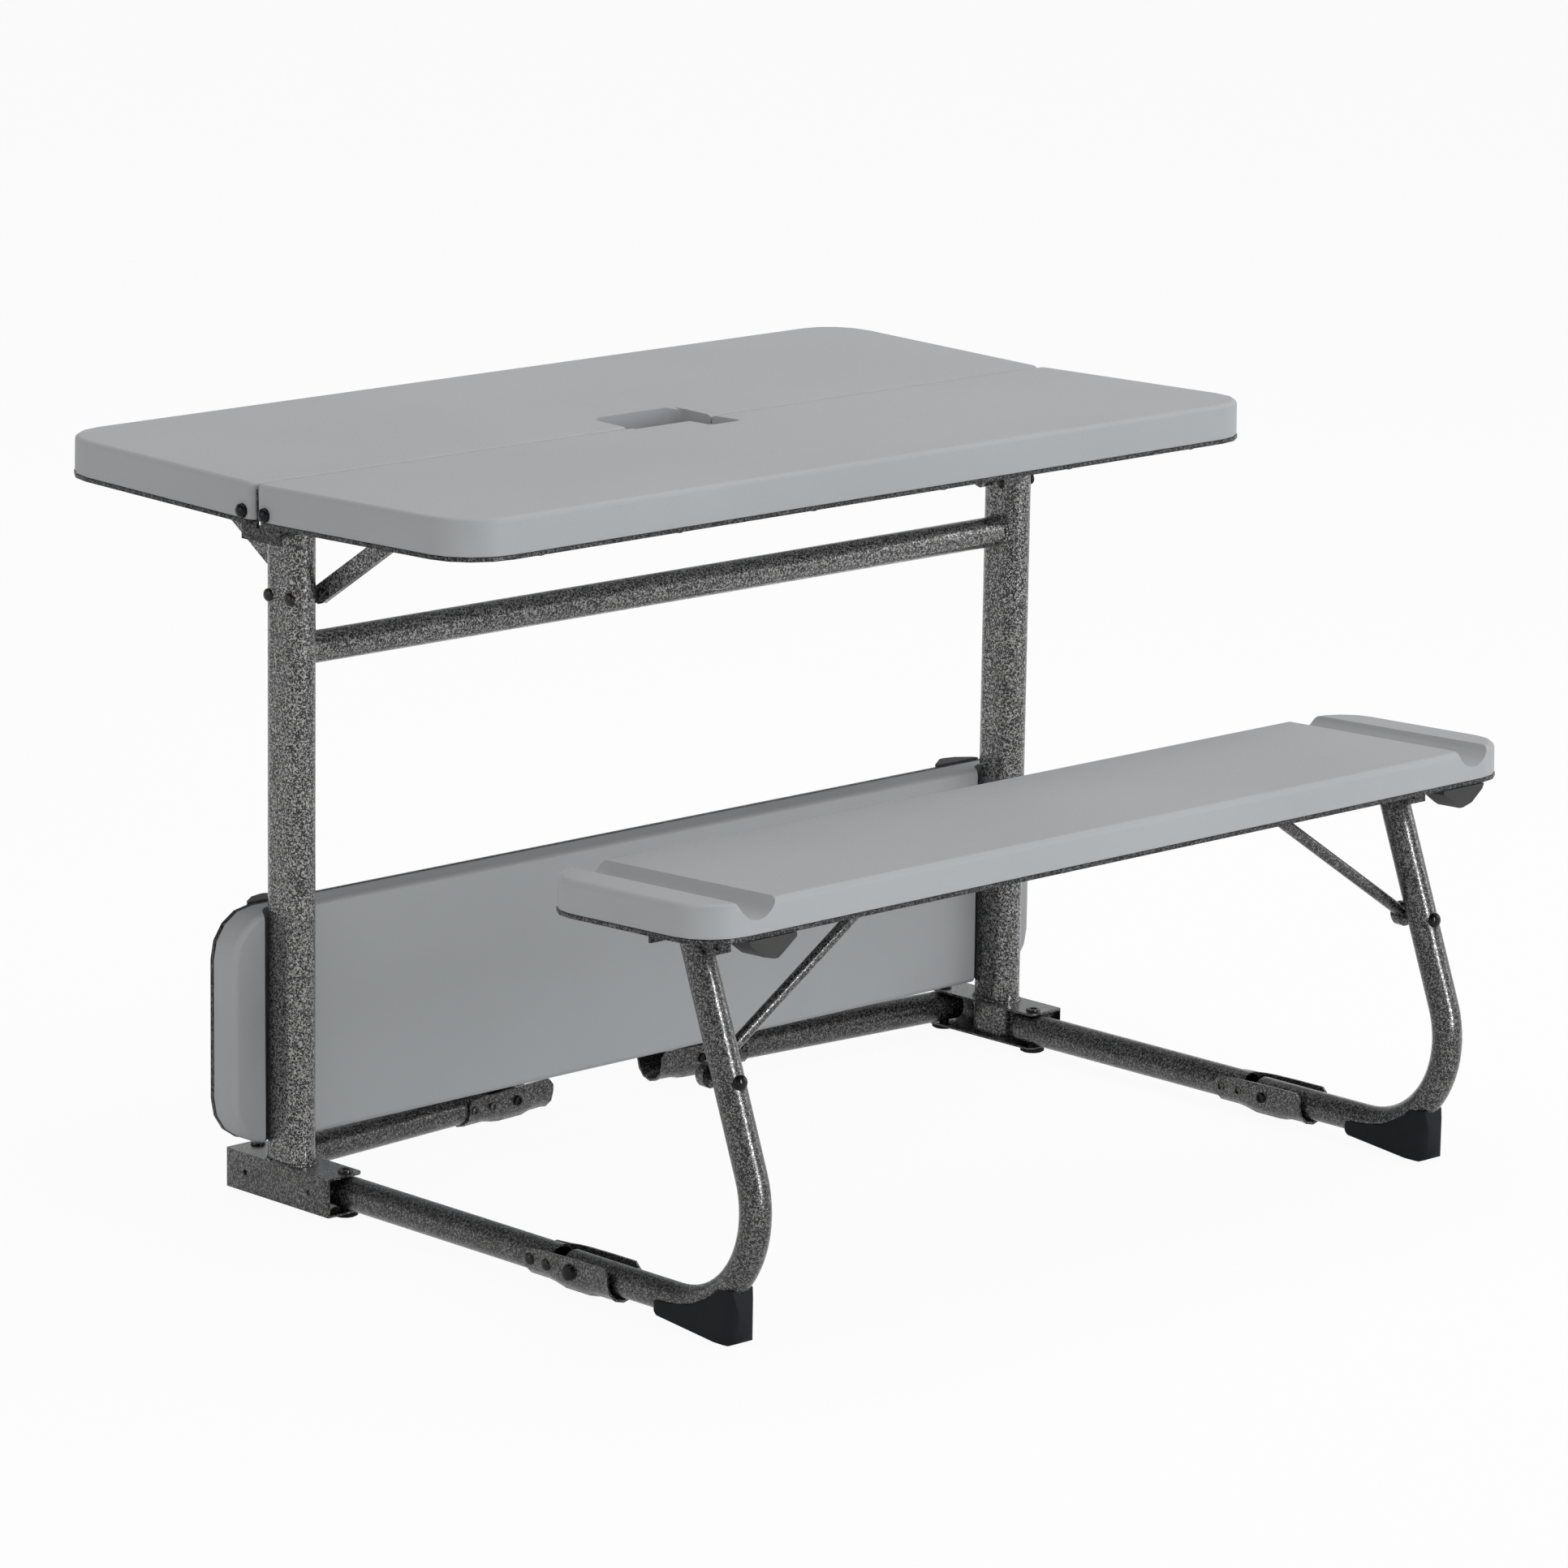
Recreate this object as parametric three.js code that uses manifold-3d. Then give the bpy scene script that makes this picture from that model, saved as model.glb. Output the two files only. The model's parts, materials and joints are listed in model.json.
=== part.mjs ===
import * as THREE from "three";
import { mergeVertices } from "three/addons/utils/BufferGeometryUtils.js";
import Module from "manifold-3d";

const wasm = await Module();
wasm.setup();

// Overall heights and lengths, in mm, floor at zero.
const tableHeight = 555;
const topLength = 820;
const topHalfWidth = 236.6;
const topTilt = THREE.MathUtils.degToRad(1.28);
const topThickness = 31;
const rimHeight = 3.4;
const topCornerR = 42;
const topEdgeR = 4;
const topPlate = 5;
const topWall = 4.5;
const hingeY = 12.7;
const hingeAboveRim = 9;
const seamInset = 1.4;
const fit = 0.3;

// Posts, cross tube and base channels, set out from the top.
const postInset = 36;
const postX = topLength / 2 - postInset;
const postThick = 25;
const postDepth = 41;
const headDrop = 44;
const postTop = tableHeight - headDrop;
const tubeR = 12.4;
const tubeWall = 1.6;
const crossR = 12.1;
const crossDrop = 90;
const crossZ = postTop - crossDrop;
const sheet = 1.6;
const channelHalf = 59.5;
const channelFlange = 34.5;
const channelBottom = 3.5;
const channelHeight = 29.8;
const glideR = 10;

// Folding arms, legs and benches.
const armInset = 9.5;
const armPivotX = postX - armInset;
const armPivotY = 50.5;
const armReach = 265.5;
const armEnd = 240;
const armTail = 10.5;
const armSwing = THREE.MathUtils.degToRad(85.3);
const tailGap = 13;
const boltR = 3.2;
const pivotBoltR = 4;
const benchLength = 841;
const benchInner = 322;
const benchOuter = 500;
const benchCornerR = 36;
const benchEdgeR = 5;
const benchThickness = 27.4;
const benchSag = THREE.MathUtils.degToRad(1.9);
const seatTop = 323.1;
const stowedFace = 10;
const stowedLow = 45.9;
const grooveDepth = 11.4;
const grooveR = 17.8;
const legR = 11.7;
const legTopY = 426.1;
const legTopZ = seatTop + stowedFace - armPivotY;
const legLean = 0.375;
const legBendR = 78;
const legSlide = 12.4;
const braceBoltZ = 188.2;
const braceAngle = THREE.MathUtils.degToRad(33.3);
const braceEndLift = 27;
const braceFold = THREE.MathUtils.degToRad(116.2);
const topBracePivotY = 11.7;
const topBracePivotDrop = 48.6;
const topBracePivotZ = postTop - topBracePivotDrop;
const topBraceEndY = 106;
const topBraceEndDrop = 4;

const channelTop = channelBottom + channelHeight;
const armZ = channelBottom + channelHeight / 2;
const webOuter = postX + postThick / 2 + fit + sheet;
const postInner = postX - postThick / 2;
const boltY = armPivotY + armReach;
const poleY = (benchInner - stowedLow + seatTop + stowedFace) / 2;
const poleZ = seatTop + stowedFace - poleY;
const benchUnder = seatTop - benchThickness;

const plastic = [0x9da1a3, 0.55, 0];
const steel = [0x3b3a3a, 0.42, 0.55];
const darkSteel = [0x232323, 0.4, 0.55];
const black = [0x0c0c0d, 0.25, 0.3];
const moulded = [0x1b2026, 0.6, 0];

function soup(points, faces) {
  const g = new THREE.BufferGeometry();
  g.setAttribute("position", new THREE.Float32BufferAttribute(points.flat(), 3));
  g.setIndex(faces.flat());
  return outward(g);
}

function volume(g) {
  const p = g.attributes.position;
  const ix = g.index.array;
  let v = 0;
  const a = new THREE.Vector3();
  const b = new THREE.Vector3();
  const c = new THREE.Vector3();
  for (let i = 0; i < ix.length; i += 3) {
    a.fromBufferAttribute(p, ix[i]);
    b.fromBufferAttribute(p, ix[i + 1]);
    c.fromBufferAttribute(p, ix[i + 2]);
    v += a.dot(b.cross(c));
  }
  return v / 6;
}

function outward(g) {
  if (volume(g) >= 0) return g;
  const ix = g.index.array;
  for (let i = 0; i < ix.length; i += 3) [ix[i], ix[i + 1]] = [ix[i + 1], ix[i]];
  return g;
}

// Skin through closed loops of equal count, with flat ends.
function loft(loops, flat) {
  const n = loops[0].length;
  const points = loops.flat();
  const faces = [];
  for (let k = 0; k + 1 < loops.length; k++) {
    for (let i = 0; i < n; i++) {
      const j = (i + 1) % n;
      const a = k * n + i;
      const b = k * n + j;
      faces.push([a, b, b + n], [a, b + n, a + n]);
    }
  }
  const last = (loops.length - 1) * n;
  const flatten = (loop) => loop.map((p) => new THREE.Vector2(p[flat[0]], p[flat[1]]));
  const first = flatten(loops[0]);
  const reversed = THREE.ShapeUtils.isClockWise(first);
  for (const [x, y, z] of THREE.ShapeUtils.triangulateShape(first, [])) faces.push(reversed ? [x, y, z] : [z, y, x]);
  for (const [x, y, z] of THREE.ShapeUtils.triangulateShape(flatten(loops.at(-1)), [])) {
    const [p, q, r] = [last + x, last + y, last + z];
    faces.push(reversed ? [r, q, p] : [p, q, r]);
  }
  return soup(points, faces);
}

// Pipe along a list of points, bored when an inner radius is given. The section stays square to the path.
function pipe(path, outer, inner, side, count = 16) {
  const rings = (r) => path.map((p, i) => {
    const before = path[Math.max(i - 1, 0)];
    const after = path[Math.min(i + 1, path.length - 1)];
    const t = after.clone().sub(before).normalize();
    const across = side.clone().cross(t).normalize();
    return Array.from({ length: count }, (_, k) => {
      const a = (2 * Math.PI * k) / count;
      const q = p.clone().addScaledVector(side, r * Math.cos(a)).addScaledVector(across, r * Math.sin(a));
      return q.toArray();
    });
  });
  const outside = rings(outer);
  if (!inner) return capped(outside, path);
  const loops = [...outside, ...rings(inner).reverse()];
  const m = loops.length;
  const faces = [];
  for (let k = 0; k < m; k++) {
    const base = k * count;
    const next = ((k + 1) % m) * count;
    for (let i = 0; i < count; i++) {
      const j = (i + 1) % count;
      faces.push([base + i, base + j, next + j], [base + i, next + j, next + i]);
    }
  }
  return soup(loops.flat(), faces);
}

function capped(rings, path) {
  const n = rings[0].length;
  const points = [...rings.flat(), path[0].toArray(), path.at(-1).toArray()];
  const faces = [];
  for (let k = 0; k + 1 < rings.length; k++) {
    for (let i = 0; i < n; i++) {
      const j = (i + 1) % n;
      faces.push([k * n + i, k * n + j, (k + 1) * n + j], [k * n + i, (k + 1) * n + j, (k + 1) * n + i]);
    }
  }
  const last = (rings.length - 1) * n;
  const start = rings.length * n;
  for (let i = 0; i < n; i++) {
    const j = (i + 1) % n;
    faces.push([start, j, i], [start + 1, last + i, last + j]);
  }
  return soup(points, faces);
}

function rod(from, to, r, count = 10) {
  const a = new THREE.Vector3(...from);
  const b = new THREE.Vector3(...to);
  const t = b.clone().sub(a).normalize();
  const side = Math.abs(t.x) < 0.9 ? new THREE.Vector3(1, 0, 0) : new THREE.Vector3(0, 1, 0);
  side.addScaledVector(t, -side.dot(t)).normalize();
  return pipe([a, b], r, 0, side, count);
}

// Turned piece on an axis from a point: profile is [radius, distance] from the axis start to its end.
function turned(from, axis, profile, count = 10) {
  const g = new THREE.LatheGeometry(profile.map(([r, d]) => new THREE.Vector2(r, d)), count);
  const turn = new THREE.Quaternion().setFromUnitVectors(new THREE.Vector3(0, 1, 0), axis);
  g.applyQuaternion(turn);
  g.translate(...from);
  return weld(g);
}

function weld(g) {
  g.deleteAttribute("normal");
  g.deleteAttribute("uv");
  return outward(mergeVertices(g, 1e-4));
}

function box(x1, x2, y1, y2, z1, z2) {
  const g = new THREE.BoxGeometry(Math.abs(x2 - x1), Math.abs(y2 - y1), Math.abs(z2 - z1));
  g.translate((x1 + x2) / 2, (y1 + y2) / 2, (z1 + z2) / 2);
  return weld(g);
}

function solid(g) {
  const p = Float32Array.from(g.attributes.position.array);
  const mesh = new wasm.Mesh({ numProp: 3, vertProperties: p, triVerts: Uint32Array.from(g.index.array) });
  return new wasm.Manifold(mesh);
}

function joined(...pieces) {
  return pieces.map(solid).reduce((a, b) => a.add(b));
}

function cut(body, ...tools) {
  const start = body.isBufferGeometry ? solid(body) : body;
  return tools.map(solid).reduce((a, b) => a.subtract(b), start);
}

function geometry(body) {
  if (body.isBufferGeometry) return body;
  const m = body.getMesh();
  const g = new THREE.BufferGeometry();
  g.setAttribute("position", new THREE.BufferAttribute(Float32Array.from(m.vertProperties), 3));
  g.setIndex(Array.from(m.triVerts));
  return g;
}

// Rounded rectangle in plan; the four radii go round from the far right corner.
function plan(x1, x2, y1, y2, radii, z, steps = 4) {
  const corners = [[x2, y2, 0], [x1, y2, 1], [x1, y1, 2], [x2, y1, 3]];
  const loop = [];
  corners.forEach(([x, y, quarter], i) => {
    const r = Math.max(radii[i], 0.05);
    const cx = x + (x === x2 ? -r : r);
    const cy = y + (y === y2 ? -r : r);
    for (let k = 0; k <= steps; k++) {
      const a = (quarter + k / steps) * Math.PI / 2;
      loop.push([cx + r * Math.cos(a), cy + r * Math.sin(a), z]);
    }
  });
  return loop;
}

// Plate with a rounded upper edge.
function slab(x1, x2, y1, y2, radii, z1, z2, edge) {
  const loops = [plan(x1, x2, y1, y2, radii, z1)];
  for (let k = 0; k <= 3; k++) {
    const a = (k / 3) * Math.PI / 2;
    const d = edge * (1 - Math.cos(a));
    const inner = radii.map((r) => Math.max(r - d, 0.05));
    loops.push(plan(x1 + d, x2 - d, y1 + d, y2 - d, inner, z2 - edge + edge * Math.sin(a)));
  }
  return loft(loops, [0, 1]);
}

function block(x1, x2, y1, y2, radii, z1, z2) {
  return loft([plan(x1, x2, y1, y2, radii, z1), plan(x1, x2, y1, y2, radii, z2)], [0, 1]);
}

function dome(from, axis, r, h) {
  const profile = [[0, -0.8], [r, -0.8], [r, h * 0.25], [r * 0.7, h * 0.8], [0, h]];
  return turned(from, axis, profile, 8);
}

const along = (x, y, z) => new THREE.Vector3(x, y, z);

// Flat-oval section of the posts.
function oval(halfThick, halfDepth, x, z, steps = 6) {
  const loop = [];
  const run = halfDepth - halfThick;
  for (let k = 0; k <= steps; k++) {
    const a = (k / steps) * Math.PI;
    loop.push([x + halfThick * Math.cos(a), run + halfThick * Math.sin(a), z]);
  }
  for (let k = 0; k <= steps; k++) {
    const a = Math.PI + (k / steps) * Math.PI;
    loop.push([x + halfThick * Math.cos(a), -run + halfThick * Math.sin(a), z]);
  }
  return loop;
}

function ovalBar(halfThick, halfDepth, x, z1, z2) {
  return loft([oval(halfThick, halfDepth, x, z1), oval(halfThick, halfDepth, x, z2)], [0, 1]);
}

// Left post with the heads of the two brace rivets on its outer face.
function post() {
  const half = postThick / 2;
  const foot = channelBottom + sheet + fit;
  const outside = ovalBar(half, postDepth / 2, -postX, foot, postTop);
  const bore = ovalBar(half - tubeWall, postDepth / 2 - tubeWall, -postX, foot - 5, postTop + 5);
  const shell = geometry(cut(outside, bore));
  const heads = [-1, 1].map((s) => {
    return dome([-postX - half, s * topBracePivotY, topBracePivotZ], along(-1, 0, 0), 4.6, 2.4);
  });
  return joined(shell, ...heads);
}

// Pressed channel, open towards the middle, with the post let through its upper flange.
function channel() {
  const inner = webOuter - channelFlange;
  const outside = block(-webOuter, -inner, -channelHalf, channelHalf, [6, 2, 2, 6], channelBottom, channelTop);
  const reach = channelHalf + 10;
  const space = box(-webOuter + sheet, 0, -reach, reach, channelBottom + sheet, channelTop - sheet);
  const clear = fit + 0.1;
  const half = postThick / 2;
  const gate = ovalBar(half + clear, postDepth / 2 + clear, -postX, channelTop - 6, channelTop + 6);
  const holes = [-1, 1].map((s) => {
    return rod([-armPivotX, s * armPivotY, -5], [-armPivotX, s * armPivotY, channelTop + 5], pivotBoltR + fit);
  });
  const web = [-1, 1].map((s) => {
    const y = s * channelHalf * 0.62;
    return rod([-webOuter - 5, y, armZ], [-webOuter + 5, y, armZ], 2.2, 10);
  });
  return cut(outside, space, gate, ...holes, ...web);
}

// Bracket on the head of the post: a saddle, and one ear plate that carries both end bolts.
function bracket() {
  const ear = topLength / 2 - topWall - 2 - 2.5;
  const saddleZ = postTop + fit;
  const saddle = box(-ear - 2.5, -postInner, -17, 17, saddleZ, saddleZ + 2.5);
  const plate = box(-ear - 2.5, -ear, -hingeY - 9, hingeY + 9, saddleZ - 6, hingeZ + 8);
  const notch = box(-ear - 5, -ear + 2, -4.5, 4.5, saddleZ + 4, hingeZ + 20);
  const holes = [-1, 1].map((s) => rod([-ear - 9, s * hingeY, hingeZ], [-ear + 9, s * hingeY, hingeZ], 3.4));
  return cut(joined(saddle, plate), notch, ...holes);
}

const topSeam = tableHeight - topHalfWidth * Math.sin(topTilt);
const hingeZ = topSeam + hingeY * Math.tan(topTilt) - topThickness + hingeAboveRim;

// Half of the top, level, measured from its hinge bolt: seam at +y, outer edge at -y.
const topBraceEndZ = hingeZ - topBraceEndDrop;
const topUpper = topThickness - hingeAboveRim;
const topLower = -hingeAboveRim + rimHeight;
const topOut = -(topHalfWidth - hingeY);
const topIn = hingeY - seamInset;

const gripMiddle = 2.5;
const gripHalf = 43.5;
const gripCornerR = 3.5;
const gripDepth = 6.4;

// The grip is a shallow scoop across the seam, with a slope at each end of it.
function topShell(pocketRun, pocketFoot) {
  const h = topLength / 2;
  const outer = slab(-h, h, topOut, topIn, [7, 7, topCornerR, topCornerR], topLower, topUpper, topEdgeR);
  const w = topWall;
  const r = topCornerR - w;
  const cavity = block(-h + w, h - w, topOut + w, topIn - w, [3, 3, r, r], topLower - 5, topUpper - topPlate);
  const gaps = [-1, 1].map((s) => {
    const x = s * (h - postInset - 8);
    return box(s * (h - w), x, topIn - w - 1, topIn + 2, topLower - 2, topUpper - 8);
  });
  const hollow = geometry(cut(outer, cavity, ...gaps));
  const floor = topUpper - gripDepth;
  const x1 = gripMiddle - gripHalf;
  const x2 = gripMiddle + gripHalf;
  const boss = box(x1 - 4, x2 + 4, topIn - pocketRun - 4, topIn - 0.4, floor - 4, topUpper - topPlate + 1);
  const radii = [1, 1, gripCornerR, gripCornerR];
  const levels = [[pocketFoot, floor], [pocketRun, topUpper], [pocketRun, topUpper + 5]];
  const pocket = loft(levels.map(([run, z]) => plan(x1, x2, topIn - run, topIn + 9, radii, z)), [0, 1]);
  const holes = [-1, 1].map((s) => rod([s * (h - 9), 0, 0], [s * (h + 5), 0, 0], 3.5));
  return cut(joined(hollow, boss), pocket, ...holes);
}

// Dark rim under three sides of the half, with the two track strips of the braces.
function topRim() {
  const h = topLength / 2 + 0.4;
  const z1 = -hingeAboveRim;
  const z2 = topLower - fit;
  const y2 = 6;
  const outer = block(-h, h, topOut - 0.4, y2, [2, 2, topCornerR, topCornerR], z1, z2);
  const r = topCornerR - 5;
  const inner = block(-h + 5, h - 5, topOut + 12, y2 + 20, [2, 2, r, r], z1 - 5, z2 + 5);
  const ring = geometry(cut(outer, inner));
  const x = postInner - 3 - topBraceThick - 2.5;
  const y1 = topOut + topWall + 1;
  const strips = [-1, 1].map((s) => box(s * x, s * (x - 2), y1, y1 / 3, z1 + 0.5, topUpper - topPlate - 4));
  return joined(ring, ...strips);
}

// Flat brace from the post to the half of the top, front left.
const topBraceThick = 5;
function topBrace() {
  const x2 = -(postInner - 3);
  const x1 = x2 + topBraceThick;
  const a = new THREE.Vector2(-topBracePivotY, topBracePivotZ);
  const b = new THREE.Vector2(-topBraceEndY, topBraceEndZ);
  const bar = flatBar(a, b, 7, 7, (y, z, d) => [x2 + d * (x1 - x2), y, z], [1, 2]);
  const boss = rod([x2 - 2.6, a.x, a.y], [x2 + 1, a.x, a.y], 5);
  const tail = dome([x1, a.x, a.y], along(1, 0, 0), 4.2, 1.8);
  const pin = dome([x1, b.x, b.y], along(1, 0, 0), 4.2, 1.6);
  return joined(bar, boss, tail, pin);
}

// Bar with round ends between two points of a plane.
function flatBar(a, b, ra, rb, place, flat) {
  const dir = Math.atan2(b.y - a.y, b.x - a.x);
  const outline = [];
  for (let k = 0; k <= 5; k++) {
    const t = dir + Math.PI / 2 + (k / 5) * Math.PI;
    outline.push([a.x + ra * Math.cos(t), a.y + ra * Math.sin(t)]);
  }
  for (let k = 0; k <= 5; k++) {
    const t = dir - Math.PI / 2 + (k / 5) * Math.PI;
    outline.push([b.x + rb * Math.cos(t), b.y + rb * Math.sin(t)]);
  }
  const loops = [0, 1].map((d) => outline.map(([u, v]) => place(u, v, d)));
  return loft(loops, flat);
}

// Bench parts stand as set up on the front side, left end; the others are turned or mirrored from them.
function seat() {
  const h = benchLength / 2;
  const radii = [benchCornerR, benchCornerR, benchCornerR, benchCornerR];
  const low = benchUnder + rimHeight;
  const outer = slab(-h, h, -benchOuter, -benchInner, radii, low, seatTop, benchEdgeR);
  const w = 4.5;
  const inset = radii.map((r) => r - w);
  const cavity = block(-h + w, h - w, -benchOuter + w, -benchInner - w, inset, low - 5, seatTop - 5);
  const axis = seatTop - grooveDepth + grooveR;
  const fall = (benchOuter - legTopY) * Math.tan(benchSag);
  const slope = fall / (benchOuter - benchInner);
  const bosses = [-1, 1].map((s) => {
    const x1 = s * (postX - grooveR - 3);
    const x2 = s * (postX + grooveR + 3);
    return box(x1, x2, -benchOuter + 2, -benchInner - 2, seatTop - grooveDepth - fall - 4, seatTop - 4);
  });
  const grooves = [-1, 1].map((s) => {
    const from = [s * postX, -benchOuter - 20, axis - fall - 20 * slope];
    return rod(from, [s * postX, -benchInner + 20, axis + 20 * slope], grooveR, 24);
  });
  return cut(joined(geometry(cut(outer, cavity)), ...bosses), ...grooves);
}

// Underside rim with a strip across each end and a pair of ears on it for the leg.
function seatRim() {
  const h = benchLength / 2 + 0.4;
  const y1 = -benchOuter - 0.4;
  const y2 = -benchInner + 0.4;
  const z2 = benchUnder + rimHeight - fit;
  const r = benchCornerR;
  const outer = block(-h, h, y1, y2, [r, r, r, r], benchUnder, z2);
  const i = r - 11;
  const stripInset = r * 0.55;
  const hole = block(-h + 11, h - 11, y1 + 11, y2 - 11, [i, i, i, i], benchUnder - 5, z2 + 5);
  const parts = [geometry(cut(outer, hole))];
  for (const s of [-1, 1]) {
    const x1 = s * (armPivotX - 27);
    const x2 = s * (h - 5);
    parts.push(box(x1, x2, y1 + stripInset, y2 - stripInset, z2 - 2, z2));
    for (const e of [-1, 1]) {
      const y = -legTopY + e * (hingeRod + 0.8) + (e > 0 ? legSlide : 0);
      const ear = box(s * (armPivotX - 10), s * (armPivotX + 10), y, y + e * 2.4, legTopZ - 7, z2 - 1);
      const end = y + e * 2.4;
      parts.push(ear, rod([s * armPivotX, end - e, legTopZ], [s * armPivotX, end + e * 2, legTopZ], 4.6, 8));
    }
  }
  return joined(...parts);
}

const hingeRod = 22;
const legDir = new THREE.Vector2(-legLean, -1).normalize();
const legFloorY = -legTopY - legLean * (legTopZ - armZ);
const legTurn = Math.PI / 2 + Math.atan(legLean);
const legTangent = legBendR * Math.tan(legTurn / 2);
const tailEnd = -(armPivotY + armEnd + tailGap);
const bendY = legFloorY + legTangent - legBendR;

function legPath() {
  const x = -armPivotX;
  const rise = 1.2;
  const points = [along(x, -legTopY - legDir.x * rise, legTopZ - legDir.y * rise)];
  const steps = 6;
  for (let k = 0; k <= steps; k++) {
    const a = Math.PI - Math.atan(legLean) + (legTurn * k) / steps;
    points.push(along(x, bendY + legBendR * (1 + Math.cos(a)), armZ + legBendR * (1 + Math.sin(a))));
  }
  points.push(along(x, tailEnd, armZ));
  return points;
}

const braceBoltY = -legTopY - legLean * (legTopZ - braceBoltZ);
const braceHubR = 9.5;
const bracePlane = braceBoltY + legR * Math.hypot(1, legLean) + legLean * braceHubR + 0.5;
const braceThick = 7;

// Bent leg: its tail is slotted for the bolt on which it is drawn out and turned up.
function leg() {
  const x = -armPivotX;
  const tube = pipe(legPath(), legR, legR - tubeWall, along(1, 0, 0), 12);
  const turnR = Math.hypot(boltY - poleY, poleZ - armZ);
  const low = poleZ - turnR - boltR - 0.5;
  const high = armZ + boltR + 0.6;
  const slotEnd = -boltY - legSlide - 0.4;
  const slot = box(x - 30, x + 30, slotEnd, tailEnd + 20, low, high);
  const middle = (low + high) / 2;
  const end = rod([x - 30, slotEnd, middle], [x + 30, slotEnd, middle], (high - low) / 2);
  const cross = rod([x, -legTopY - hingeRod, legTopZ], [x, -legTopY + hingeRod, legTopZ], 6.2);
  const outerY = braceBoltY - legR;
  const shank = rod([x, outerY - 0.6, braceBoltZ], [x, bracePlane - 0.3, braceBoltZ], 4);
  const head = dome([x, outerY - 0.3, braceBoltZ], along(0, -1, 0), 5.6, 3.6);
  return joined(geometry(cut(tube, slot, end)), cross, shank, head);
}

// Moulded foot that cups the bend up to its middle line and stands on the floor.
function foot() {
  const x = -armPivotX;
  const half = legR + 0.2;
  const tail = bendY + 93.5;
  const heel = bendY + 6.5;
  const outline = [
    [tail, armZ - 3], [tail - 1.2, armZ - 9], [tail - 6, armZ - 12.4], [heel + 24, 0.2], [heel + 22, 0],
    [heel + 8, 0], [heel + 3, 2], [heel, 7], [heel + 1.5, 22], [heel + 5, 40],
  ];
  for (const a of [227, 238, 249, 260, 270]) {
    const t = THREE.MathUtils.degToRad(a);
    outline.push([bendY + legBendR * (1 + Math.cos(t)), armZ + legBendR * (1 + Math.sin(t))]);
  }
  outline.push([tail - 10, armZ]);
  const wedge = loft([-half - 1, half + 1].map((d) => outline.map(([y, z]) => [x + d, y, z])), [1, 2]);
  const round = half - 0.1;
  const form = block(x - half, x + half, heel, tail, [5, 5, round, round], -5, 60);
  const hollow = pipe(legPath(), legR + fit, 0, along(1, 0, 0), 12);
  return cut(solid(wedge).intersect(solid(form)), hollow);
}

// Leg brace: flat-oval bar on the inner side of the leg, from its bolt up into the hollow of the bench.
function legBrace() {
  const rise = legTopZ + braceEndLift - braceBoltZ;
  const a = new THREE.Vector2(-armPivotX, braceBoltZ);
  const b = new THREE.Vector2(-armPivotX + rise / Math.tan(braceAngle), braceBoltZ + rise);
  const place = (x, z, d) => [x, bracePlane + d * braceThick, z];
  const bar = flatBar(a, b, 5.5, 5.5, place, [0, 2]);
  const hub = rod([a.x, bracePlane, a.y], [a.x, bracePlane + braceThick, a.y], braceHubR, 14);
  const tail = dome([a.x, bracePlane + braceThick, a.y], along(0, 1, 0), 8, 5);
  const pin = dome([b.x, bracePlane + braceThick, b.y], along(0, 1, 0), 4, 2);
  return joined(bar, hub, tail, pin);
}

// Moulded bumper under the outer edge of the bench.
function bumper() {
  const x = -armPivotX + 2;
  const z = benchUnder - fit;
  const outline = [
    [x - 22, z], [x - 20, z - 4], [x - 8, z - 13], [x + 2, z - 15.5], [x + 6, z - 15.5],
    [x + 10, z - 13], [x + 24, z - 3], [x + 24, z],
  ];
  const y1 = -benchOuter - 1.5;
  const y2 = y1 + 22;
  return loft([y1, y2].map((y) => outline.map(([u, v]) => [u, y, v])), [0, 2]);
}

function arm() {
  const x = -armPivotX;
  const path = [along(x, -armPivotY + armTail, armZ), along(x, -armPivotY - armEnd, armZ)];
  const tube = pipe(path, tubeR, tubeR - tubeWall, along(1, 0, 0), 12);
  const hole = rod([x, -armPivotY, armZ - 30], [x, -armPivotY, armZ + 30], pivotBoltR + fit);
  return cut(tube, hole);
}

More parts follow.
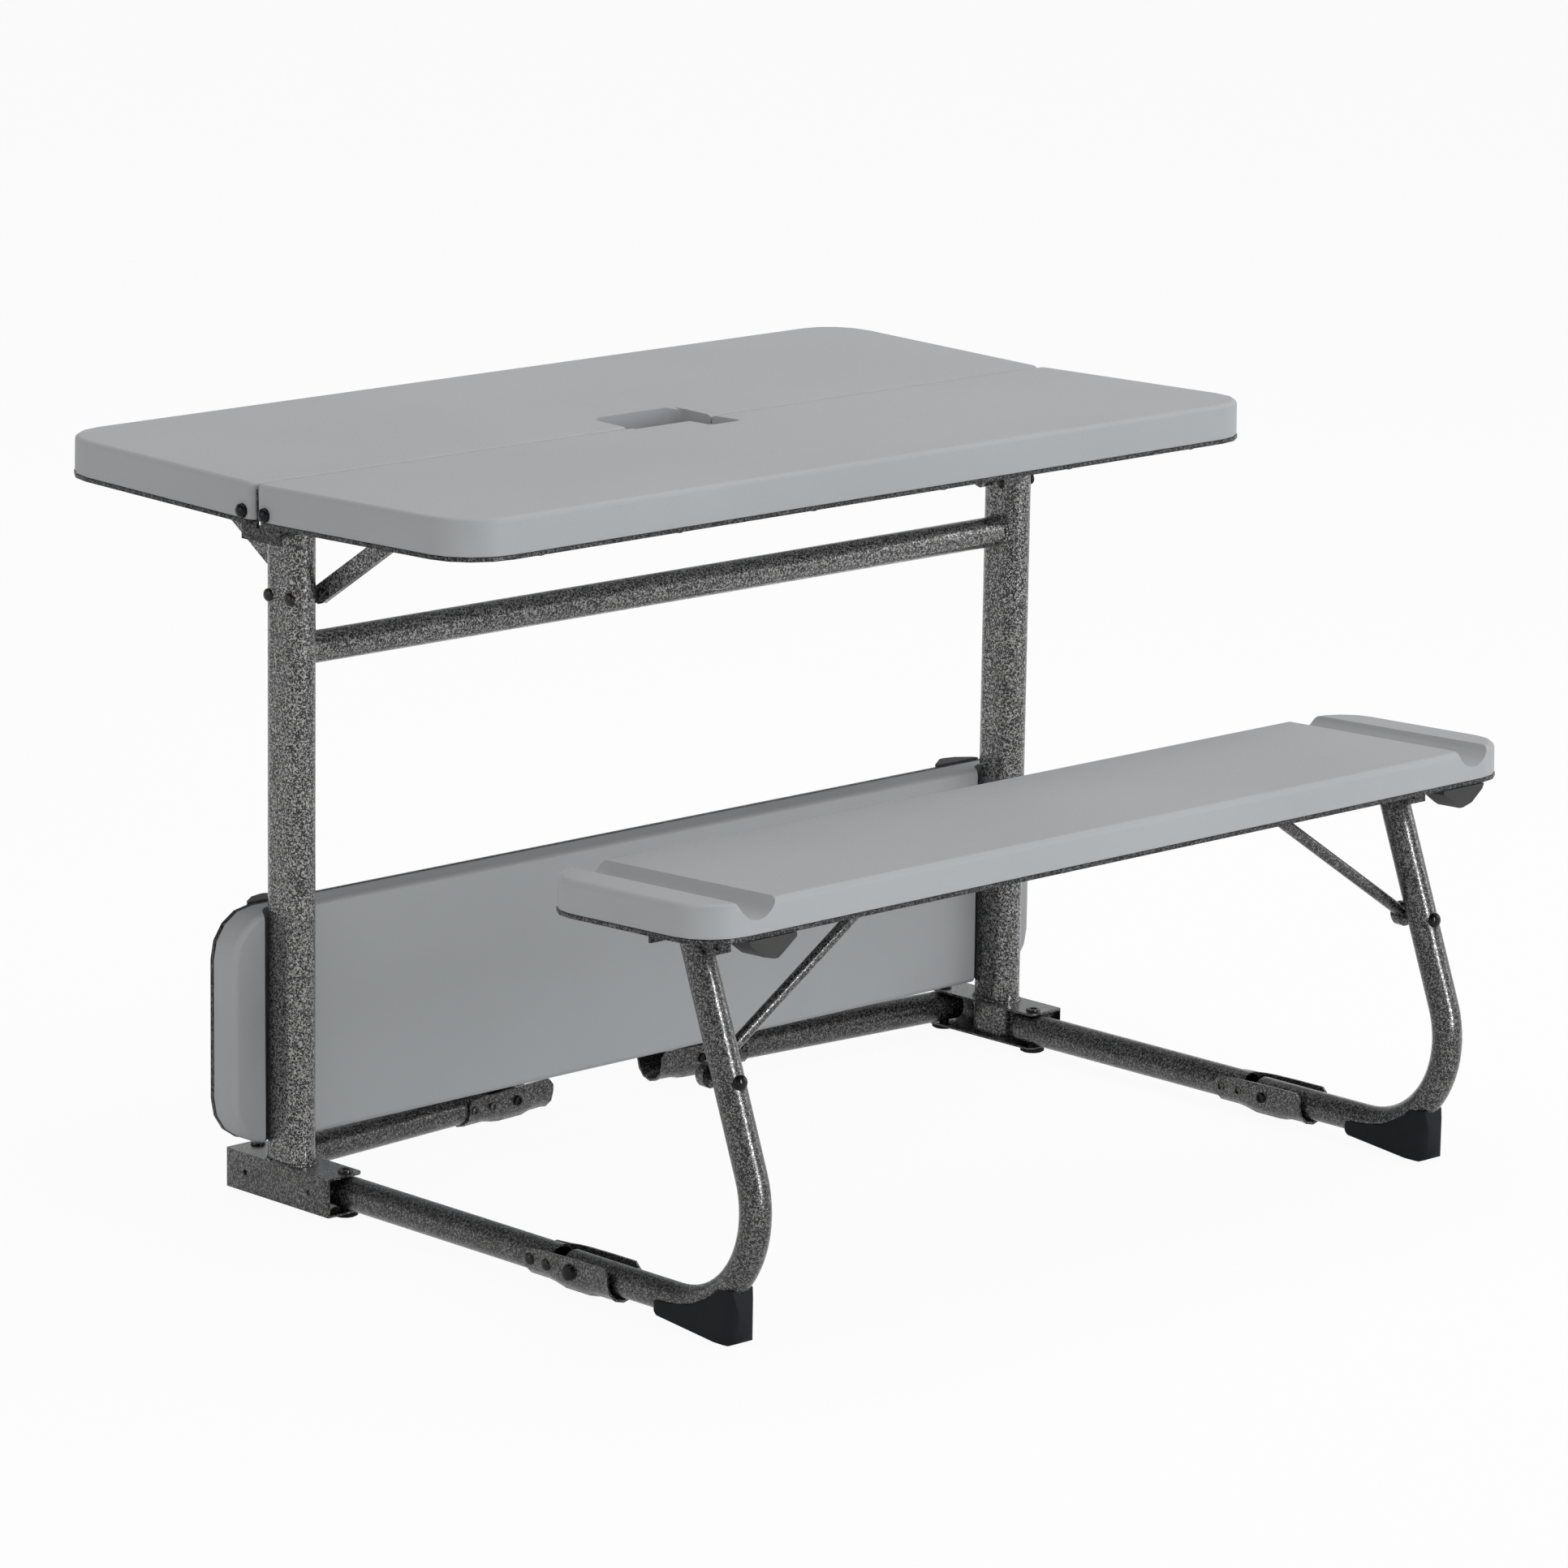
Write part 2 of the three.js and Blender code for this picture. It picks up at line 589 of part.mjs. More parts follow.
// Saddle clip under the end of the arm, open above, with a belly where the end of the leg turns.
// Each station: distance from the leg bolt, half width, depth and wall height from the tube's middle.
const clipSheet = 1.8;
const clipHalf = 14.3;
const clipHug = tubeR + 0.4;
const clipBelly = armZ - clipSheet - 0.5;
const rivetSteps = [45, 26];
function clip() {
  const x = -armPivotX;
  const t = clipSheet;
  const stations = [
    [50.5, clipHug, clipHug, 4.5], [47, clipHug, clipHug, 8.4], [31, clipHug, clipHug, 9.4],
    [24, clipHalf - 0.4, 13.4, 9.9], [12, clipHalf, clipBelly, 10.4], [-13, clipHalf, clipBelly, 10.8],
    [-22, clipHalf, 13.8, 10.8], [-36, clipHalf, 13.6, 10.8], [-40.5, clipHalf + 0.5, 14.4, 5.5],
  ];
  const steps = 6;
  const loops = stations.map(([d, a, deep, top]) => {
    const y = -boltY + d;
    const loop = [];
    for (let k = 0; k <= steps; k++) {
      const u = Math.PI + (k / steps) * Math.PI;
      loop.push([x + (a + t) * Math.cos(u), y, armZ + (deep + t) * Math.sin(u)]);
    }
    loop.push([x + a + t, y, armZ + top], [x + a, y, armZ + top]);
    for (let k = steps; k >= 0; k--) {
      const u = Math.PI + (k / steps) * Math.PI;
      loop.push([x + a * Math.cos(u), y, armZ + deep * Math.sin(u)]);
    }
    loop.push([x - a, y, armZ + top], [x - a - t, y, armZ + top]);
    return loop;
  });
  const saddle = loft(loops, [0, 2]);
  const rivets = [];
  for (const d of rivetSteps) {
    const wall = t + (d > 40 ? clipHug : clipHalf - 0.6);
    rivets.push(dome([x - wall + 0.3, -boltY + d, armZ], along(-1, 0, 0), 4.4, 2.6));
    rivets.push(ring([x + wall - 0.3, -boltY + d, armZ], along(1, 0, 0), 3.6, 1.9, 1.6));
  }
  const hole = rod([x - 30, -boltY, armZ], [x + 30, -boltY, armZ], boltR + 0.25);
  return cut(joined(saddle, ...rivets), hole);
}

// Rolled end of a hollow rivet.
function ring(from, axis, outer, inner, h) {
  const edge = (outer - inner) / 3;
  const profile = [
    [inner, -0.6], [outer, -0.6], [outer, h - edge], [outer - edge, h], [inner + edge, h], [inner, h - edge],
    [inner, -0.6],
  ];
  return turned(from, axis, profile, 8);
}

// Bolt of the leg: domed head outside, hollow rolled end inside.
function legBolt() {
  const x = -armPivotX;
  const wall = clipHalf + clipSheet + fit;
  const run = 2 * wall + 1.8;
  const profile = [[0, 1.2], [2.2, 1.2], [2.6, 0], [4, 0], [4.4, 1.8], [boltR, 1.8]];
  profile.push([boltR, run], [6.6, run], [5.6, run + 2.4], [0, run + 4]);
  return turned([x + wall + 1.8, -boltY, armZ], along(-1, 0, 0), profile);
}

function armBolt() {
  const seatZ = channelHeight - 0.3 + fit;
  const profile = [[0, 0], [pivotBoltR, 0], [pivotBoltR, seatZ], [6, seatZ], [5.4, seatZ + 1.6]];
  profile.push([3.6, seatZ + 1.6], [2.8, seatZ + 0.4], [0, seatZ + 0.4]);
  return turned([-armPivotX, -armPivotY, channelBottom + 0.3], along(0, 0, 1), profile);
}

function glide() {
  const top = channelBottom - fit;
  const profile = [[0, 0], [glideR - 1.5, 0], [glideR, 1], [glideR, top], [0, top]];
  return turned([-armPivotX, -armPivotY, 0], along(0, 0, 1), profile, 12);
}

function topBolt() {
  const face = topLength / 2 + fit;
  const inner = topLength / 2 - topWall - 2 - 2.5 - 2;
  const run = face - inner;
  const profile = [[0, 0], [3, 0], [3, run], [5.6, run], [5.3, run + 2.2], [3.6, run + 4], [0, run + 4.8]];
  return turned([-inner, -hingeY, hingeZ], along(-1, 0, 0), profile);
}

function crossTube() {
  const end = postInner - fit;
  return pipe([along(-end, 0, crossZ), along(end, 0, crossZ)], crossR, crossR - tubeWall, along(0, 1, 0), 16);
}

const part = new THREE.Group();
part.name = "folding_activity_table";

function put(name, body, look, ...moves) {
  const g = geometry(body).clone();
  for (const m of moves) g.applyMatrix4(m);
  outward(g);
  const flat = g.toNonIndexed();
  flat.computeVertexNormals();
  const [color, roughness, metalness] = look;
  const mesh = new THREE.Mesh(flat, new THREE.MeshStandardMaterial({ color, roughness, metalness }));
  mesh.name = name;
  part.add(mesh);
}

const mirrorX = new THREE.Matrix4().makeScale(-1, 1, 1);
const mirrorY = new THREE.Matrix4().makeScale(1, -1, 1);

function turnAbout(point, axis, angle) {
  const p = along(...point);
  const m = new THREE.Matrix4().makeTranslation(p.x, p.y, p.z);
  m.multiply(new THREE.Matrix4().makeRotationAxis(axis, angle));
  return m.multiply(new THREE.Matrix4().makeTranslation(-p.x, -p.y, -p.z));
}

const quarter = Math.PI / 2;
const flip = turnAbout([0, -poleY, poleZ], along(1, 0, 0), -quarter);
const swing = turnAbout([-armPivotX, -armPivotY, 0], along(0, 0, 1), armSwing);
const slide = new THREE.Matrix4().makeTranslation(0, legSlide, 0);
const sag = turnAbout([0, -legTopY, legTopZ], along(1, 0, 0), -benchSag);
const foldBrace = turnAbout([-armPivotX, 0, braceBoltZ], along(0, 1, 0), braceFold);
const lay = new THREE.Matrix4().makeTranslation(0, -hingeY, hingeZ);
const tilt = turnAbout([0, -hingeY, hingeZ], along(1, 0, 0), -topTilt);

const sides = [["left", []], ["right", [mirrorX]]];
const rows = [["front", []], ["back", [mirrorY]]];

const postBody = post();
const channelBody = channel();
const bracketBody = bracket();
for (const [side, m] of sides) {
  put(`${side}_post`, postBody, steel, ...m);
  put(`${side}_base_channel`, channelBody, steel, ...m);
  put(`${side}_top_bracket`, bracketBody, darkSteel, ...m);
}
put("cross_tube", crossTube(), steel);

const topRimBody = topRim();
const topBraceBody = topBrace();
const topBoltBody = topBolt();
const armBoltBody = armBolt();
const glideBody = glide();
put("front_top", topShell(33, 20), plastic, lay, tilt);
put("back_top", topShell(42, 21), plastic, lay, tilt, mirrorY);
for (const [row, n] of rows) {
  put(`${row}_top_rim`, topRimBody, darkSteel, lay, tilt, ...n);
  for (const [side, m] of sides) {
    put(`${row}_${side}_top_brace`, topBraceBody, steel, ...m, ...n);
    put(`${row}_${side}_top_bolt`, topBoltBody, black, ...m, ...n);
    put(`${row}_${side}_arm_bolt`, armBoltBody, darkSteel, ...m, ...n);
    put(`${row}_${side}_glide`, glideBody, moulded, ...m, ...n);
  }
}

const seatBody = seat();
const seatRimBody = seatRim();
const bumperBody = bumper();
const legBody = leg();
const footBody = foot();
const legBraceBody = legBrace();
const armBody = arm();
const clipBody = clip();
const legBoltBody = legBolt();
for (const [row, n] of rows) {
  const stowed = row === "back";
  const bench = stowed ? [flip] : [sag];
  const lift = stowed ? [slide, flip] : [];
  const inward = stowed ? [swing] : [];
  const fold = stowed ? [foldBrace] : [];
  put(`${row}_seat`, seatBody, plastic, ...bench, ...n);
  put(`${row}_seat_rim`, seatRimBody, darkSteel, ...bench, ...n);
  for (const [side, m] of sides) {
    const id = `${row}_${side}`;
    put(`${id}_bumper`, bumperBody, moulded, ...bench, ...m, ...n);
    put(`${id}_leg`, legBody, steel, ...lift, ...inward, ...m, ...n);
    put(`${id}_foot`, footBody, moulded, ...lift, ...inward, ...m, ...n);
    put(`${id}_leg_brace`, legBraceBody, steel, ...fold, ...lift, ...inward, ...m, ...n);
    put(`${id}_arm`, armBody, steel, ...inward, ...m, ...n);
    put(`${id}_clip`, clipBody, steel, ...inward, ...m, ...n);
    put(`${id}_leg_bolt`, legBoltBody, black, ...inward, ...m, ...n);
  }
}

// Origin under the middle of the set-up footprint.
const extent = new THREE.Box3().setFromObject(part);
const middle = (extent.min.y + extent.max.y) / 2;
for (const mesh of part.children) mesh.geometry.translate(0, -middle, 0);

export default part;
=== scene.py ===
import json
import math

import bmesh
import bpy
from mathutils import Matrix, Vector
from mathutils.bvhtree import BVHTree


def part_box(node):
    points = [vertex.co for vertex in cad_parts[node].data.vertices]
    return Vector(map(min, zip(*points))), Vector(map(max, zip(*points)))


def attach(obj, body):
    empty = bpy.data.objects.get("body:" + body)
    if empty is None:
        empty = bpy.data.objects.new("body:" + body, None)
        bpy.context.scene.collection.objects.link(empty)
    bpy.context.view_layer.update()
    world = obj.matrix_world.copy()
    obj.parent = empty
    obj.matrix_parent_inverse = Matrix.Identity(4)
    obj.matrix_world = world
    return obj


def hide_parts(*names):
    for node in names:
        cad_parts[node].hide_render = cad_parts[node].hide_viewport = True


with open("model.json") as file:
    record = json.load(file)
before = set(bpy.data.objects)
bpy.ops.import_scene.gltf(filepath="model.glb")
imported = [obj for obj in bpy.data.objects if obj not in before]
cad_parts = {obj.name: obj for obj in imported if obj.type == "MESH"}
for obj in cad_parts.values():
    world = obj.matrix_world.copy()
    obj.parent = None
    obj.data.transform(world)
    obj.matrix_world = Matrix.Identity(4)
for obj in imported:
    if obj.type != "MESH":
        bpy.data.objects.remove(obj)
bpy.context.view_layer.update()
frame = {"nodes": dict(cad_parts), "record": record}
print("frame loaded", len(frame["nodes"]), "nodes")


class Wire:
    def __init__(self, tree, socket):
        self.tree = tree
        self.socket = socket

    def sums(self, operation, other, swapped=False):
        node = self.tree.nodes.new("ShaderNodeMath")
        node.operation = operation
        pair = (other, self) if swapped else (self, other)
        for slot, value in zip(node.inputs, pair):
            if isinstance(value, Wire):
                self.tree.links.new(value.socket, slot)
            else:
                slot.default_value = value
        return Wire(self.tree, node.outputs[0])

    def __add__(self, other):
        return self.sums("ADD", other)

    def __radd__(self, other):
        return self.sums("ADD", other, True)

    def __sub__(self, other):
        return self.sums("SUBTRACT", other)

    def __rsub__(self, other):
        return self.sums("SUBTRACT", other, True)

    def __mul__(self, other):
        return self.sums("MULTIPLY", other)

    def __rmul__(self, other):
        return self.sums("MULTIPLY", other, True)

    def most(self, other):
        return self.sums("MAXIMUM", other)


class NodeBench:
    def __init__(self, tree):
        tree.nodes.clear()
        self.tree = tree

    def node(self, kind, settings=None, sockets=None, out=0):
        made = self.tree.nodes.new(kind)
        for key, value in (settings or {}).items():
            setattr(made, key, value)
        for key, value in (sockets or {}).items():
            if isinstance(value, (Wire, list)):
                for wire in value if isinstance(value, list) else [value]:
                    self.tree.links.new(wire.socket, made.inputs[key])
            else:
                made.inputs[key].default_value = value
        return Wire(self.tree, made.outputs[out]) if made.outputs else None


class Finish(NodeBench):
    def __init__(self, name):
        self.material = bpy.data.materials.new(name)
        self.material.use_nodes = True
        super().__init__(self.material.node_tree)

    def place(self):
        return self.node("ShaderNodeTexCoord", out="Object")

    def noise(self, where, scale, detail=2.0, rough=0.5, twist=0.0):
        sockets = {"Vector": where, "Scale": scale, "Detail": detail, "Roughness": rough, "Distortion": twist}
        return self.node("ShaderNodeTexNoise", sockets=sockets)

    def fade(self, value, low, high):
        sockets = {"Value": value, "From Min": low, "From Max": high}
        return self.node("ShaderNodeMapRange", {"interpolation_type": "SMOOTHSTEP"}, sockets)

    def mix(self, factor, dark, light):
        sockets = {0: factor, 6: (*dark, 1.0), 7: (*light, 1.0)}
        return self.node("ShaderNodeMix", {"data_type": "RGBA"}, sockets, 2)

    def bump(self, height, look, samples=4):
        rounded = self.node("ShaderNodeBevel", {"samples": samples}, {"Radius": look["edge"]})
        sockets = {"Height": height, "Normal": rounded}
        sockets.update({"Distance": look["depth"], "Strength": look["strength"]})
        return self.node("ShaderNodeBump", sockets=sockets)

    def surface(self, sockets):
        shader = self.node("ShaderNodeBsdfPrincipled", sockets=sockets)
        self.node("ShaderNodeOutputMaterial", sockets={"Surface": shader})
        return self.material


# Moulded grey plastic of the tops and seats: fine pebble, faint cloudiness.
plasticLook = {
    "pale": (0.402, 0.414, 0.424),
    "deep": (0.378, 0.389, 0.399),
    "pebble": 900.0,
    "pits": (0.15, 0.75),
    "pitRough": 0.10,
    "pitShare": 0.7,
    "grain": 1530.0,
    "grainShare": 0.25,
    "cloud": 5.0,
    "cloudDetail": 3.0,
    "clouding": (0.3, 0.7),
    "cloudRough": 0.06,
    "rough": 0.44,
    "depth": 0.00014,
    "strength": 0.35,
    "edge": 0.0008,
    "shine": 0.42,
}


def greyPlastic():
    look = plasticLook
    f = Finish("pebbled_grey_plastic")
    where = f.place()
    sockets = {"Vector": where, "Scale": look["pebble"]}
    cells = f.node("ShaderNodeTexVoronoi", {"feature": "SMOOTH_F1"}, sockets)
    grain = f.noise(where, look["grain"])
    cloud = f.noise(where, look["cloud"], look["cloudDetail"])
    pits = f.fade(cells, *look["pits"])
    tone = f.fade(cloud * (1 - look["grainShare"]) + grain * look["grainShare"], *look["clouding"])
    colour = f.mix(tone, look["deep"], look["pale"])
    rough = look["rough"] + pits * look["pitRough"] + cloud * look["cloudRough"]
    height = (1 - pits) * look["pitShare"] + grain * (1 - look["pitShare"])
    sockets = {"Base Color": colour, "Roughness": rough, "Normal": f.bump(height, look)}
    sockets["Specular IOR Level"] = look["shine"]
    return f.surface(sockets)


# Hammered powder coat of the frame: worm-like pale islands in black.
steelLook = {
    "black": (0.002, 0.002, 0.0024),
    "silver": (0.460, 0.449, 0.442),
    "silverShare": 0.86,
    "worm": 660.0,
    "wormDetail": 1.6,
    "wormRagged": 0.55,
    "wormTwist": 1.1,
    "island": (0.50, 0.575),
    "islandShare": 0.85,
    "finer": 2.1,
    "finerDetail": 1.0,
    "speck": (0.45, 0.75),
    "depth": 0.00016,
    "strength": 0.75,
    "edge": 0.0007,
    "rough": 0.20,
    "blackRough": 0.12,
    "metal": 0.68,
    "coat": 0.7,
    "coatRough": 0.24,
}
# Same hammered coat with a darker silver for the legs, arms, clips, leg stays and base channels near the
# floor: painted shade.
shadedSteelLook = dict(steelLook, silver=(0.215, 0.210, 0.206))
trimLook = dict(steelLook, silver=(0.135, 0.134, 0.136), worm=640.0, rough=0.32, coat=0.3)


def hammeredSteel(name, look):
    f = Finish(name)
    where = f.place()
    worms = f.noise(where, look["worm"], look["wormDetail"], look["wormRagged"], look["wormTwist"])
    island = f.fade(worms, *look["island"])
    specks = f.noise(where, look["worm"] * look["finer"], look["finerDetail"])
    speck = f.fade(specks, *look["speck"])
    amount = island * look["silverShare"] + speck * (1 - look["silverShare"])
    colour = f.mix(amount, look["black"], look["silver"])
    rough = look["rough"] + (1 - island) * look["blackRough"]
    height = island * look["islandShare"] + speck * (1 - look["islandShare"])
    sockets = {"Base Color": colour, "Roughness": rough, "Normal": f.bump(height, look)}
    sockets["Metallic"] = look["metal"]
    sockets.update({"Coat Weight": look["coat"], "Coat Roughness": look["coatRough"]})
    return f.surface(sockets)


# Black bolts, brown-black rivets and worn steel rings.
boltLook = {
    "tone": (0.004, 0.004, 0.0045),
    "worn": (0.012, 0.012, 0.013),
    "rub": 340.0,
    "rubDetail": 3.0,
    "rubRough": 0.14,
    "scuff": (0.52, 0.78),
    "depth": 0.00008,
    "strength": 0.4,
    "edge": 0.0005,
    "rough": 0.14,
    "metal": 0.1,
    "coat": 0.2,
    "coatRough": 0.08,
    "shine": 0.15,
}
rivetTones = {"tone": (0.011, 0.009, 0.008), "worn": (0.07, 0.053, 0.042)}
rivetLook = dict(boltLook, rough=0.22, metal=0.25, coat=0.3, shine=0.25, **rivetTones)
ringTones = {"tone": (0.09, 0.088, 0.082), "worn": (0.34, 0.33, 0.31)}
ringSteelLook = dict(boltLook, rough=0.3, metal=0.55, coat=0.0, shine=0.5, **ringTones)


def fastenerBlack(name, look):
    f = Finish(name)
    rub = f.noise(f.place(), look["rub"], look["rubDetail"])
    colour = f.mix(f.fade(rub, *look["scuff"]), look["tone"], look["worn"])
    rough = look["rough"] + rub * look["rubRough"]
    sockets = {"Base Color": colour, "Roughness": rough, "Normal": f.bump(rub, look)}
    sockets.update({"Metallic": look["metal"], "Specular IOR Level": look["shine"]})
    sockets.update({"Coat Weight": look["coat"], "Coat Roughness": look["coatRough"]})
    return f.surface(sockets)


# Blue-black moulded feet and the plain black pads under the seats.
footLook = {
    "tone": (0.0040, 0.0052, 0.0078),
    "pale": (0.0062, 0.0076, 0.0108),
    "grain": 1300.0,
    "grainRough": 0.12,
    "cloud": 40.0,
    "clouding": (0.35, 0.65),
    "depth": 0.00006,
    "strength": 0.3,
    "edge": 0.0009,
    "rough": 0.6,
    "shine": 0.22,
}
padLook = dict(footLook, tone=(0.022, 0.022, 0.023), pale=(0.030, 0.030, 0.031), rough=0.5, shine=0.45)


def mouldedBlack(name, look):
    f = Finish(name)
    where = f.place()
    grain = f.noise(where, look["grain"])
    cloud = f.noise(where, look["cloud"])
    colour = f.mix(f.fade(cloud, *look["clouding"]), look["tone"], look["pale"])
    rough = look["rough"] + grain * look["grainRough"]
    sockets = {"Base Color": colour, "Roughness": rough, "Normal": f.bump(grain, look)}
    sockets["Specular IOR Level"] = look["shine"]
    return f.surface(sockets)


looks = {
    "plastic": greyPlastic(),
    "steel": hammeredSteel("hammered_steel", steelLook),
    # The same steel with painted shade, for the parts near the floor.
    "low": hammeredSteel("hammered_base", shadedSteelLook),
    "trim": hammeredSteel("hammered_trim", trimLook),
    "bolt": fastenerBlack("black_bolt", boltLook),
    "rivet": fastenerBlack("brown_rivet", rivetLook),
    "ring": fastenerBlack("worn_ring", ringSteelLook),
    "foot": mouldedBlack("moulded_blue_black", footLook),
    "pad": mouldedBlack("moulded_black", padLook),
}
print("finishes made", len(looks))

# Finish, slot and hard-edge angle in degrees of each kind of solid. The low finish is the same steel with
# painted shade, on the parts near the floor.
pieceKinds = {
    "top": {"look": "plastic", "slot": "grey_plastic", "hard": 40},
    "seat": {"look": "plastic", "slot": "grey_plastic", "hard": 40},
    "top_rim": {"look": "trim", "slot": "frame_steel", "hard": 35},
    "seat_rim": {"look": "trim", "slot": "frame_steel", "hard": 35},
    "post": {"look": "steel", "slot": "frame_steel", "hard": 40},
    "base_channel": {"look": "low", "slot": "frame_steel", "hard": 35},
    "top_bracket": {"look": "trim", "slot": "frame_steel", "hard": 35},
    "cross_tube": {"look": "steel", "slot": "frame_steel", "hard": 40},
    "top_brace": {"look": "steel", "slot": "clip_steel", "hard": 40},
    "leg_brace": {"look": "low", "slot": "clip_steel", "hard": 40},
    "arm": {"look": "low", "slot": "frame_steel", "hard": 40},
    "leg": {"look": "low", "slot": "frame_steel", "hard": 40},
    "clip": {"look": "low", "slot": "clip_steel", "hard": 45},
    "foot": {"look": "foot", "slot": "moulded_black", "hard": 35},
    "bumper": {"look": "pad", "slot": "moulded_black", "hard": 30},
    "glide": {"look": "foot", "slot": "moulded_black", "hard": 35},
    "leg_bolt": {"look": "bolt", "slot": "fastener_black", "hard": 50},
    "arm_bolt": {"look": "rivet", "slot": "fastener_black", "hard": 50},
    "top_bolt": {"look": "bolt", "slot": "fastener_black", "hard": 50},
}
bodies = frame["record"]["behaviour"]["bodies"]
bodyOf = {node: body for body, nodes in bodies.items() for node in nodes}


def kindOf(node):
    return max((k for k in pieceKinds if node.endswith(k)), key=len)


def middleOf(node):
    low, high = (Vector(v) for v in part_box(node))
    return (low + high) / 2


postMiddle = middleOf("left_base_channel").y


def finishedMesh(name, bm, material):
    mesh = bpy.data.meshes.new(name)
    bm.to_mesh(mesh)
    bm.free()
    mesh.materials.append(material)
    piece = bpy.data.objects.new(name, mesh)
    bpy.context.scene.collection.objects.link(piece)
    return piece


def seedPiece(name, points, edges=()):
    mesh = bpy.data.meshes.new(name)
    mesh.from_pydata(points, edges, [])
    piece = bpy.data.objects.new(name, mesh)
    bpy.context.scene.collection.objects.link(piece)
    return piece


def edged(bm, hard):
    turn = math.radians(hard)
    for edge in bm.edges:
        edge.smooth = len(edge.link_faces) == 2 and edge.calc_face_angle() < turn
    for face in bm.faces:
        face.smooth = True
    return bm


def hardened(piece, hard):
    bm = bmesh.new()
    bm.from_mesh(piece.data)
    edged(bm, hard).to_mesh(piece.data)
    bm.free()
    return piece


# Packed solid as one joined mesh with soft and hard edges, in metres and degrees.
joinLook = {"weld": 2e-6, "sliver": 1e-6, "flat": 0.6}


def joinedSolid(node, hard):
    source = frame["nodes"][node].data
    bm = bmesh.new()
    corners = [bm.verts.new(v.co) for v in source.vertices]
    for p in source.polygons:
        bm.faces.new([corners[i] for i in p.vertices])
    bmesh.ops.remove_doubles(bm, verts=bm.verts, dist=joinLook["weld"])
    bmesh.ops.dissolve_degenerate(bm, dist=joinLook["sliver"], edges=bm.edges)
    flat = math.radians(joinLook["flat"])
    bmesh.ops.dissolve_limit(bm, angle_limit=flat, verts=bm.verts, edges=bm.edges)
    return edged(bm, hard)


def dressedSolid(node, kind):
    return finishedMesh(node + "_finish", joinedSolid(node, kind["hard"]), looks[kind["look"]])


def castTree(node):
    source = frame["nodes"][node].data
    faces = [list(p.vertices) for p in source.polygons]
    return BVHTree.FromPolygons([v.co for v in source.vertices], faces)


# Leaves the piece a plain mesh, with what its modifiers made.
def settled(piece):
    view = bpy.context.evaluated_depsgraph_get()
    made = bpy.data.meshes.new_from_object(piece.evaluated_get(view))
    piece.modifiers.clear()
    piece.data = made
    return piece


def grown(piece, tree, values):
    modifier = piece.modifiers.new("grow", "NODES")
    modifier.node_group = tree
    for item in tree.interface.items_tree:
        if item.in_out == "INPUT" and item.name in values:
            modifier[item.identifier] = values[item.name]
    return settled(piece)


# Geometry trees for what repeats or follows a path.
def newTree(name, inputs):
    tree = bpy.data.node_groups.new(name, "GeometryNodeTree")
    for label, kind in inputs.items():
        tree.interface.new_socket(name=label, in_out="INPUT", socket_type=kind)
    tree.interface.new_socket(name="Made", in_out="OUTPUT", socket_type="NodeSocketGeometry")
    return NodeBench(tree)


def given(g, label):
    return g.node("NodeGroupInput", out=label)


def noted(g, label, kind="FLOAT"):
    return g.node("GeometryNodeInputNamedAttribute", {"data_type": kind}, {"Name": label})


def closing(g, shape):
    plain = g.node("GeometryNodeRealizeInstances", sockets={"Geometry": shape})
    smooth = g.node("GeometryNodeSetShadeSmooth", sockets={"Geometry": plain})
    sockets = {"Geometry": smooth, "Material": given(g, "Finish")}
    dressed = g.node("GeometryNodeSetMaterial", sockets=sockets)
    g.node("NodeGroupOutput", sockets={"Made": dressed})
    return g.tree


def ball(g, look):
    sockets = {"Segments": look["segments"], "Rings": look["rings"], "Radius": 1.0}
    return g.node("GeometryNodeMeshUVSphere", sockets=sockets)


def setOn(g, points, shape, turn, size):
    sockets = {"Points": points, "Instance": shape, "Rotation": turn, "Scale": size}
    return closing(g, g.node("GeometryNodeInstanceOnPoints", sockets=sockets))


# One small shape on every point, turned to the point's facing and scaled by its girth and height.
def pointTree(name, shapeOf, height="girth"):
    inputs = {"Points": "NodeSocketGeometry", "Growth": "NodeSocketFloat", "Finish": "NodeSocketMaterial"}
    g = newTree(name, inputs)
    facing = noted(g, "facing", "FLOAT_VECTOR")
    turn = g.node("FunctionNodeAlignRotationToVector", {"axis": "Z"}, {"Vector": facing})
    wide = noted(g, "girth") * given(g, "Growth")
    tall = noted(g, height) * given(g, "Growth")
    size = g.node("ShaderNodeCombineXYZ", sockets={"X": wide, "Y": wide, "Z": tall})
    return setOn(g, given(g, "Points"), shapeOf(g), turn, size)


def dotted(name, places, tree, values, body):
    piece = seedPiece(name, [p["at"] for p in places])
    facing = piece.data.attributes.new("facing", "FLOAT_VECTOR", "POINT")
    facing.data.foreach_set("vector", [c for p in places for c in p["facing"]])
    for key in ("girth", "rise"):
        kept = piece.data.attributes.new(key, "FLOAT", "POINT")
        kept.data.foreach_set("value", [p.get(key, 0.0) for p in places])
    grown(piece, tree, values)
    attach(piece, body)


# Round tubes, in metres and degrees: sides, wall, and the bent leg as it stands at the front left.
tubeLook = {"sides": 36, "wall": 0.0016, "bendSteps": 22, "hard": 40}
legLook = {
    "axle": (-0.3645, -0.4261, 0.2826),
    "lean": 0.375,
    "bend": 0.078,
    "floor": 0.0184,
    "tail": -0.3035,
    "radius": 0.0116,
    "skin": 0.0006,
    "slide": 0.0124,
    "pole": (0.0, -0.3046, 0.0285),
    "armPivot": (-0.3645, -0.0505, 0.0),
    "swing": 85.3,
}
armLook = {"start": -0.04, "end": -0.2905, "radius": 0.0125}


